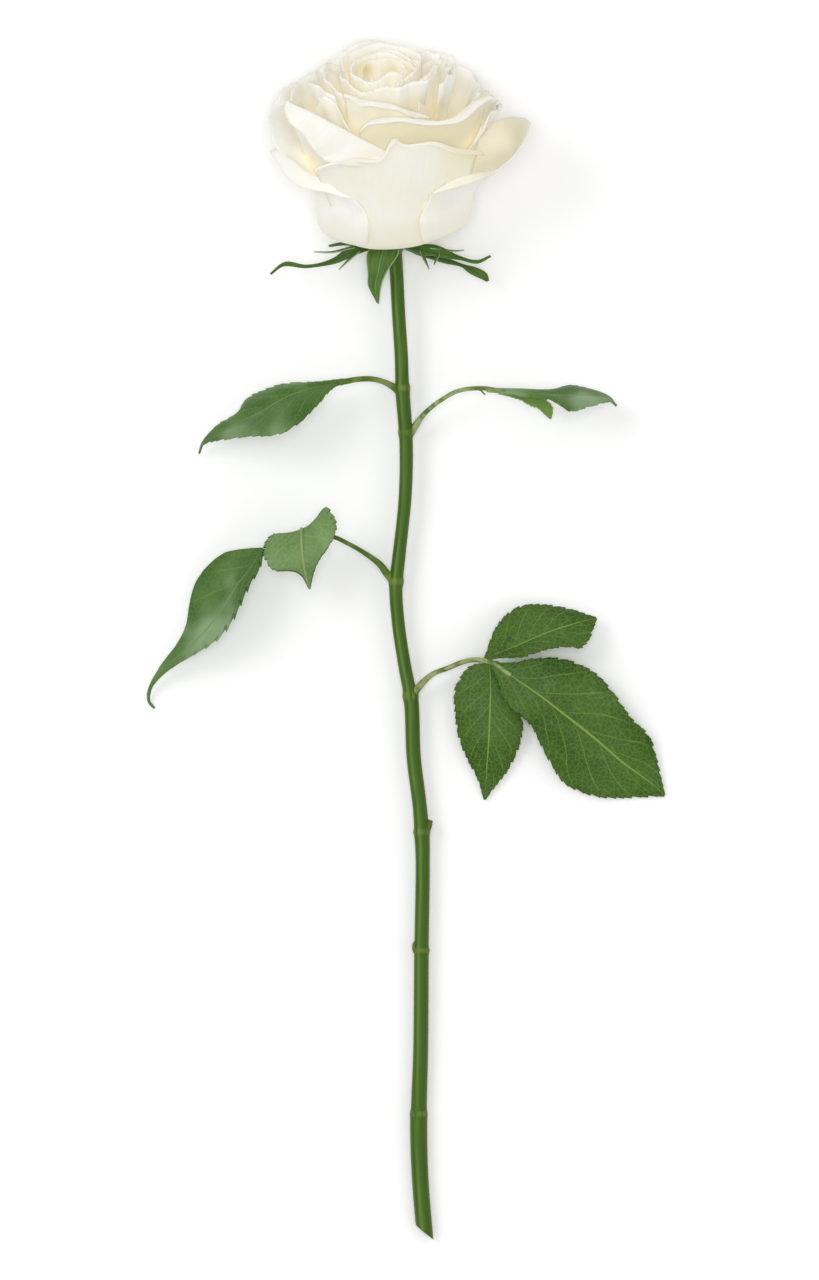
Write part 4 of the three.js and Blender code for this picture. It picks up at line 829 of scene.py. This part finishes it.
front_middle = [
    row([-30, -23, -15, -7, 2, 9, 16, 23, 30], 5, 3),
    row([-46, -34, -22, -9, 3, 13, 24, 35, 46], [22, 22.3, 22.5, 22.5, 22.5, 22.5, 22.5, 22.3, 22],
        [4.5, 4.2, 4, 4, 4, 4, 4, 4.2, 4.5]),
    row([-48, -36, -23, -9, 3, 14, 25, 36, 48], [27.6, 27.8, 28, 28, 28, 28, 28, 27.8, 27.6],
        [13, 12.6, 12.5, 12.5, 12.5, 12.5, 12.5, 12.6, 13]),
    row([-47, -35, -21, -8, 3, 14, 25, 36, 47], [30, 30, 30, 30, 30, 30, 30, 30.3, 30.5], 22),
    row([-45, -34, -20, -6, 3, 12, 25, 38, 49], [34.5, 32.8, 32, 32, 32.2, 32, 32.2, 34.5, 38],
        [31, 32, 32.5, 33, 34, 33.5, 33, 31.5, 31.5]),
    row([-41, -32, -19, -5, 3, 11, 27, 38, 49], [39.5, 36.8, 34.6, 34.2, 35.4, 34.4, 35.4, 38, 42.5],
        [40, 42, 43, 43.2, 50.3, 47.2, 46.8, 43.8, 41.3]),
    row([-41.5, -32, -19, -5, 3.5, 11, 27, 39, 52.5], [40.7, 38, 35.6, 35, 36.3, 35.4, 36.6, 39.8, 44.2],
        [39.6, 41.3, 42.3, 42.3, 50, 46.4, 45.8, 42.5, 38]),
]
rolled_left = [
    row([-70, -58, -46, -34, -22, -10], 5, 4.5),
    row([-82, -66, -50, -34, -18, -2], [20, 20.5, 20.5, 20.5, 20.5, 20.5], 7),
    row([-84, -67, -50, -33, -16, 0], 26, [20, 19, 19, 19, 19, 20]),
    row([-74, -59, -45, -31, -16, -1], [31, 30.5, 29.5, 28.7, 28.5, 28.3], [38, 37, 36, 34, 33.5, 34]),
    row([-66, -51, -38, -27, -14, -1], [37, 34.8, 32.5, 30.6, 29.4, 29], [54, 52.3, 49.5, 45.5, 42, 40.5]),
    row([-60, -45, -32, -22, -11, 0], [40, 38, 34.8, 32.4, 31, 30], [62, 60.2, 55.8, 51.7, 47.8, 44]),
    row([-56, -45, -34.5, -26, -13, -1], [42.8, 41.3, 38, 35.2, 32.8, 31.2],
        [62, 58.6, 52.8, 47.5, 45.3, 43.2]),
    row([-51, -46, -41, -37, -22, -3], [45, 43.3, 40.5, 38, 35, 32.3], [60.5, 54.5, 48.5, 42.5, 41, 41]),
]
far_left = cupped(5, 4.5, 27.5, [-122, -106, -91, -76, -64, -54], [37, 39.8, 41.5, 42, 38.5, 32.5],
                  [46, 48.5, 48.5, 45, 38, 31], neck=(0.2, 0.78))
far_right = cupped(5, 4.5, 28, [50, 59, 67, 78, 92, 112], [34, 38, 40.5, 41.5, 42, 41],
                   [36, 44.5, 50, 50, 46.5, 42.5])
rolled_right = [
    row([-20, -10, 0, 10, 20, 30, 40, 50, 60], 5, 6),
    row([-26, -14, -2, 11, 24, 37, 50, 63, 76], [17, 18, 18, 18, 18, 18, 18.5, 19, 19], 9),
    row([-27, -15, -2, 11, 25, 38, 52, 66, 80], [23, 23, 23.3, 23.5, 23.8, 24.3, 25, 26, 27],
        [23, 22, 22, 22, 22, 22, 22.5, 23, 24]),
    row([-24, -13, -1, 11, 25, 38, 51, 64, 77], [25.3, 25.3, 25.5, 25.8, 26.2, 27.2, 29, 31.5, 33],
        [38, 38.5, 39, 39, 38, 37.5, 37.5, 38.5, 40]),
    row([-21, -12, 0, 12, 25, 38, 50, 59, 70], [26.5, 27, 27.7, 28, 28.4, 29.7, 32, 36.5, 39.5],
        [50.3, 54, 55.7, 55.2, 53, 51.3, 52, 55.8, 56]),
    row([-21, -12, 0, 12, 25, 38, 51, 60.5, 71.5], [27, 27.9, 28.8, 29.2, 29.8, 31.4, 34.2, 38.6, 41.4],
        [49.9, 53.4, 55, 54.5, 52.2, 50.4, 50.9, 54.2, 54]),
]
inner_front = [
    row([-40, -26, -10, 6, 20, 34], 4, 9),
    row([-46, -29, -11, 7, 25, 42], [13.5, 14, 14, 14, 14, 14], 12),
    row([-44, -28, -10, 8, 25, 42], [18.3, 18.6, 18.7, 19, 19.5, 20.5], [28, 27.5, 27, 27, 27, 27]),
    row([-42, -27, -10, 8, 25, 41], [20.3, 20.4, 20.6, 21, 21.6, 22.8], [46, 45.5, 45, 44.5, 43.5, 42]),
    row([-39, -25, -9, 8, 24, 39], [22, 22, 22, 22.2, 22.8, 24], [61.5, 60.6, 59.8, 58, 55, 51.5]),
    row([-39, -25, -9, 8, 24, 39], [22.9, 23.2, 23.3, 23.5, 24.1, 25.1], [61, 59.6, 58.6, 56.8, 53.9, 50.6]),
]
pointed_front = cupped(3.5, 10, 13.5, [-34, -17, 0, 16, 34, 50], [16.5, 16.5, 16.7, 17.2, 18.2, 21],
                       [61, 63, 63.8, 64, 64, 65])
whorls = {
    "outer_petals": [
        front_left,
        front_right,
        cupped(5, 2.4, 27, [-182, -168, -152, -136, -122], [38, 43, 45, 44, 40], [38, 42, 44, 42, 38]),
        cupped(5, 2.4, 27, [118, 132, 147, 162, 176], [41, 45, 45, 43, 38], [38, 42, 44, 42, 38]),
    ],
    "second_petals": [
        front_middle,
        far_left,
        far_right,
        cupped(5, 4.5, 27, [-162, -146, -131, -118, -107, -96], [37, 38.5, 39.3, 40.5, 41.5, 40],
               [50, 53, 53.5, 52, 49.5, 46]),
        cupped(5, 4.5, 27, [98, 112, 125, 137, 152], [40.5, 41.5, 39.7, 38, 37], [44, 45.5, 49.5, 53.5, 51]),
        cupped(5, 4.5, 27, [146, 164, 182, 200], [36, 39, 39.5, 37], [47, 51, 52, 49]),
    ],
    "third_petals": [
        rolled_left,
        rolled_right,
        cupped(5, 6, 24.5, [-165, -151, -140, -128, -114, -100], [31, 33, 35, 36.7, 36, 33],
               [58, 59.5, 56, 54.5, 53, 50]),
        cupped(5, 6, 24.5, [102, 112, 122, 131, 141, 152, 164], [35, 36.5, 36, 34, 33, 32, 30],
               [49, 51, 54.5, 58, 59, 59.5, 56]),
        cupped(5, 6, 24.5, [160, 176, 192, 206], [31, 32, 31, 30], [57, 60, 60, 56]),
        cupped(5, 6, 24.5, [-112, -96, -80, -66], [33, 34, 33.5, 31], [50, 53, 55, 54]),
        cupped(5, 6, 24.5, [66, 80, 94, 108], [32, 33.5, 34, 33], [52, 54, 53, 50]),
    ],
    "fourth_petals": [
        inner_front,
        pointed_front,
        cupped(4.5, 8, 21, [-80, -66, -56, -49, -40, -28], [26, 27.5, 28.8, 28.3, 26.3, 25.3],
               [42, 51, 59.5, 62.5, 59, 49]),
        cupped(4.5, 8, 20, [-110, -93, -76, -61, -48], [26, 26.5, 26, 25, 24], [58, 61, 63, 63.5, 61]),
        cupped(4.5, 8, 20, [-208, -194, -178, -162, -148, -133], [28, 29, 29, 29, 29.5, 28],
               [58, 62, 64, 65, 60, 56]),
        cupped(4.5, 8, 20, [60, 74, 90, 106, 120], [23, 24.5, 25.5, 26.5, 27], [62, 62.5, 61, 60, 57]),
        cupped(4.5, 8, 20, [112, 128, 145, 162], [26, 27, 27, 26], [58, 61, 62, 60]),
        cupped(4.5, 8, 20, [-150, -134, -118, -102], [26, 26.5, 26.5, 25.5], [58, 61, 61, 58]),
    ],
    "heart_petals": [
        cupped(3.5, 10, 16, [-128, -106, -84, -62, -44], [20, 20.5, 21, 21.5, 21.5], [60, 62, 63.5, 64, 62]),
        cupped(3.5, 10, 16, [134, 156, 180, 204, 226], [20, 20, 20, 20, 20.5], [63, 65.5, 66.5, 66, 63]),
        cupped(3.5, 10, 16, [46, 66, 90, 114, 134], [18.6, 19, 19.5, 20.3, 20], [64, 66, 65, 63, 60]),
        cupped(3, 12, 12, [-120, -96, -72, -48, -26], [14.5, 15, 15.3, 15.5, 15.3],
               [62, 63.5, 64, 63, 60.5]),
        cupped(3, 12, 12, [110, 138, 166, 194, 222], [13, 13.5, 13.5, 13.5, 14], [62, 65, 66.5, 66, 64]),
        cupped(3, 12, 11.5, [20, 46, 76, 104, 132], [13.6, 13.6, 13.4, 13, 12.6],
               [63.5, 65.5, 66, 65.8, 63.5]),
        cupped(2.5, 14, 7.5, [-80, -56, -34, -12, 6, 24, 42], [11.5, 10.3, 9.4, 9, 9, 9.4, 10.6],
               [65, 63.6, 62.8, 63.8, 65.3, 66.6, 65]),
        cupped(2.5, 14, 7.5, [60, 98, 129, 155, 180, 206, 232, 258],
               [12, 11.6, 11, 10.2, 10, 10.2, 10.9, 11.8], [62.5, 63, 64.5, 66.4, 67, 66.8, 66.2, 64.5]),
        cupped(2, 16, 5, [96, 126, 156, 186, 216, 244], [8.6, 8.4, 7.9, 7.8, 8.2, 8.8],
               [62.5, 64.6, 65.4, 65.6, 65, 63]),
        cupped(2, 18, 2.5, [-110, -70, -30, 10, 50], [4, 4.6, 4.8, 4.6, 5], [60, 61.5, 62, 62.5, 61]),
    ],
}
RIPPLE = dict(zip(whorls, (0.5, 0.5, 0.45, 0.45, 0.3)))
petals = [(whorl, rows) for whorl, rows_list in whorls.items() for rows in rows_list]

# How much of each side of each petal its neighbours hide, found with rays at a coarse net of places.
COARSE_NET = (13, 9)
net_across, net_along = np.meshgrid(np.linspace(-1, 1, COARSE_NET[1]), np.linspace(0, 1, COARSE_NET[0]))
nets = np.array([
    petal_places(order, rows, net_across.ravel(), net_along.ravel(), RIPPLE[whorl]).reshape(*COARSE_NET, 3)
    for order, (whorl, rows) in enumerate(petals)
])
corner = np.arange(net_across.size).reshape(COARSE_NET)
quads = [corner[:-1, :-1], corner[:-1, 1:], corner[1:, 1:], corner[1:, :-1]]
facets = np.stack(quads, axis=-1).reshape(-1, 4)
every_facet = np.concatenate([facets + k * corner.size for k in range(len(nets))])
crowd = BVHTree.FromPolygons(nets.reshape(-1, 3).tolist(), every_facet.tolist())
outward = np.cross(np.gradient(nets, axis=2), np.gradient(nets, axis=1))
outward /= np.linalg.norm(outward, axis=-1, keepdims=True)
RAY_RINGS = ((20, 4), (48, 7), (72, 7))  # degrees from straight out, and how many rays at that slope
RAY_START, RAY_REACH = 0.7, 28  # how far off the petal a ray starts, and how far it looks


def hidden(places, normals):
    """The share of the light from around that other petals stop on its way to each place."""
    shares = np.empty(places.shape[:-1])
    for index in np.ndindex(shares.shape):
        place, normal = Vector(places[index]), Vector(normals[index])
        turn = normal.to_track_quat("Z", "Y")
        start = place + RAY_START * normal
        stopped = 0
        for ring, (slope, count) in enumerate(RAY_RINGS):
            for step in range(count):
                way = math.radians(360 * (step + 0.5 * ring) / count)
                flat = math.sin(math.radians(slope))
                ray = Vector((flat * math.cos(way), flat * math.sin(way), math.cos(math.radians(slope))))
                stopped += crowd.ray_cast(start, turn @ ray, RAY_REACH)[0] is not None
        shares[index] = stopped / sum(count for _, count in RAY_RINGS)
    return shares


def spread(net, u, v):
    """Values of a coarse net over a petal's fine grid."""
    rows = np.broadcast_to(net[:, None], (len(net), len(v), net.shape[1]))
    return glide(glide(rows, v).T, (u + 1) / 2)


PETAL_WALL = 0.35
PETAL_STEPS = 48
LIP = 0.03  # a lipped petal's rim dips by up to twice this share of its length
# Painted shade: the hollows between the inner petals are painted a deeper yellow, each place with its reach
# and its depth.
PAINTED_SHADE_HOLLOWS = (  # the deep yellow places between the inner petals, each with its reach and its depth
    ([-14.5, 419, 36.4], 6, 0.8), ([-20.9, 416.3, 35.3], 6, 0.7), ([12, 405, 48], 7, 0.5),
    ([-29.1, 403.2, 53.2], 5, 0.4), ([-4.6, 419.4, 35.9], 6, 0.5),
)


def cream_and_painted_shade(rows, u, v):
    """How cream a petal is: most are white, and a few are cream to just below the rim. Part of it is
    the petals' own cream and part is painted shade: below the rolled right petal's rim, on the front
    middle petal's right wing and inside the inmost heart petals.
    """
    below_rim = 1 - smoothstep(v, 0.84, 0.96)
    if rows is rolled_right:
        return 0.9 * below_rim
    if rows is pointed_front:
        return 0.75 * below_rim
    if rows is inner_front:
        return 0.35 * below_rim + 0.1
    if rows is front_middle:
        return 0.35 + 0.65 * smoothstep(u, 0.4, 0.8) * smoothstep(v, 0.55, 0.8)
    if rows is front_right:
        return 0.15 + 0.3 * smoothstep(v, 0.62, 0.75)
    if rows is front_left:
        return np.full_like(v, 0.08)
    if any(rows is inmost for inmost in whorls["heart_petals"][6:]):
        return 0.4 * below_rim
    return 0.12 * below_rim


def petal_paint(side, painted_glow, painted_deep_shade, painted_through_glow):
    def paint(place):
        uv = place.node("UVMap", {"uv_map": "UVMap"})
        shut = place.marked(side)
        along = uv.node("SeparateXYZ", {}, {0: uv}, out=1)
        ribs = uv.stretched((56, 5, 1)).noise(1, 4)
        tone = place.noise(55, 3)
        cream_and_shade = place.marked("cream_and_painted_shade")
        painted_hollow_shade = place.marked("painted_hollow_shade")
        white = mixed(srgb(247, 246, 240), srgb(243, 239, 226), tone.fade(0.35, 0.7))
        white = mixed(white, srgb(232, 228, 213), ribs.fade(0.42, 0.75) * 0.22)
        white = mixed(srgb(244, 238, 214), white, along.fade(0.0, 0.5))
        # Partly the petals' own cream and partly painted shade where a petal lies under a rim or turns from
        # the light.
        white = mixed(white, srgb(229, 222, 194), cream_and_shade)
        # Painted shade: a deeper yellow in the hollows between the inner petals.
        white = mixed(white, srgb(214, 192, 132), painted_hollow_shade)
        # Painted glow and shade: where neighbours hide a place it turns pale yellow, and deeper yellow where
        # it is most hidden.
        glow = mixed(white, painted_glow, shut.fade(0.5, 0.95))
        glow = mixed(glow, painted_deep_shade, shut.fade(0.9, 1.0))
        # Painted glow: a warm emission in hidden places, standing in for light that comes through the
        # petals.
        light = mixed((0, 0, 0, 1), painted_through_glow, shut.fade(0.55, 1.0))
        return {"Base Color": glow, "Roughness": tone.fade(0.3, 0.7, 0.5, 0.62), "Height": ribs,
                "Emission Color": light}
    return paint


# Real subsurface and sheen, and an emission strength that lights the painted glow.
velvet_and_painted_glow = {
    "Specular IOR Level": 0.25, "Subsurface Weight": 0.3, "Subsurface Radius": (1.0, 0.8, 0.5),
    "Subsurface Scale": 2 * MM, "Sheen Weight": 0.1, "Emission Strength": 0.1,
}
petal_back = material(
    "petal_back",
    petal_paint("hidden_outside", srgb(244, 239, 219), srgb(242, 229, 188), srgb(255, 240, 202)),
    fixed=velvet_and_painted_glow, bump=0.2, relief=0.1,
)
# The inner faces get twice the emission of the painted glow.
petal_face = material(
    "petal_face",
    petal_paint("hidden_inside", srgb(247, 244, 232), srgb(244, 233, 200), srgb(255, 244, 220)),
    fixed=velvet_and_painted_glow | {"Emission Strength": 0.2}, bump=0.2, relief=0.1,
)

parts = {whorl: [] for whorl in whorls}
for order, (whorl, rows) in enumerate(petals):
    made, u, v = grid(f"petal_{order:02}", PETAL_STEPS, PETAL_STEPS)
    lipped = any(rows is petal for petal in (front_middle, rolled_right, inner_front))
    places = petal_places(order, rows, u, v, RIPPLE[whorl], LIP if lipped else 0)
    set_points(made, places)
    for side, way in (("hidden_outside", 1), ("hidden_inside", -1)):
        shares = spread(hidden(nets[order], way * outward[order]), u, v)
        if way == 1:
            shares *= smoothstep(v, 0.05, 0.35)
        mark(made, side, shares)
    mark(made, "cream_and_painted_shade", cream_and_painted_shade(rows, u, v))
    # Painted shade: how deep a yellow each point gets from the nearest hollow.
    painted_shade_depths = [
        painted_deep_shade * (1 - smoothstep(np.linalg.norm(places - middle, axis=1), 0, reach))
        for middle, reach, painted_deep_shade in PAINTED_SHADE_HOLLOWS
    ]
    mark(made, "painted_hollow_shade", np.max(painted_shade_depths, axis=0))
    made.data.materials.append(petal_back)
    made.data.materials.append(petal_face)
    thicken(made, PETAL_WALL, back_material=1)
    parts[whorl].append(made)
for whorl, made in parts.items():
    piece = join(whorl, made)
    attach(piece, "root")
    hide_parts("bloom")


# --- Table and studio light: a plain white top under a soft light from the upper left, a weaker one
# from the lower right, one straight above and an even sky. None of them is part of the rose.
def table_paint(place):
    tone = place.noise(3, 2)
    return {"Base Color": mixed((0.97, 0.97, 0.97, 1), (0.98, 0.98, 0.98, 1), tone)}


bpy.ops.mesh.primitive_plane_add(size=6, location=(0, 0, 0))
table = bpy.context.active_object
table.name = "table_top"
table_white = material("table_white", table_paint, specular=0.1, fixed={"Roughness": 0.9})
table.data.materials.append(table_white)


def lamp(name, place, size, power, aim=(0, 0.1, 0.03)):
    bpy.ops.object.light_add(type="AREA", location=place)
    light = bpy.context.active_object
    light.name = name
    light.data.shape = "DISK"
    light.data.size = size
    light.data.energy = power
    way = np.array(aim) - np.array(place)
    slope = math.acos(-way[2] / np.linalg.norm(way))
    light.rotation_euler = (slope, 0, math.atan2(way[1], way[0]) - math.pi / 2)


lamp("key_lamp", (-1.2, 0.7, 1.8), size=1.0, power=9)
lamp("fill_lamp", (1.4, -0.6, 1.9), size=1.6, power=5)
lamp("top_lamp", (0, 0.05, 3), size=0.9, power=24, aim=(0, 0.06, 0))
world = bpy.data.worlds.new("studio")
bpy.context.scene.world = world
world.use_nodes = True
sky = world.node_tree.nodes["Background"]
sky.inputs["Color"].default_value = (1, 1, 1, 1)
sky.inputs["Strength"].default_value = 0.64
bpy.context.scene.view_settings.view_transform = "Standard"
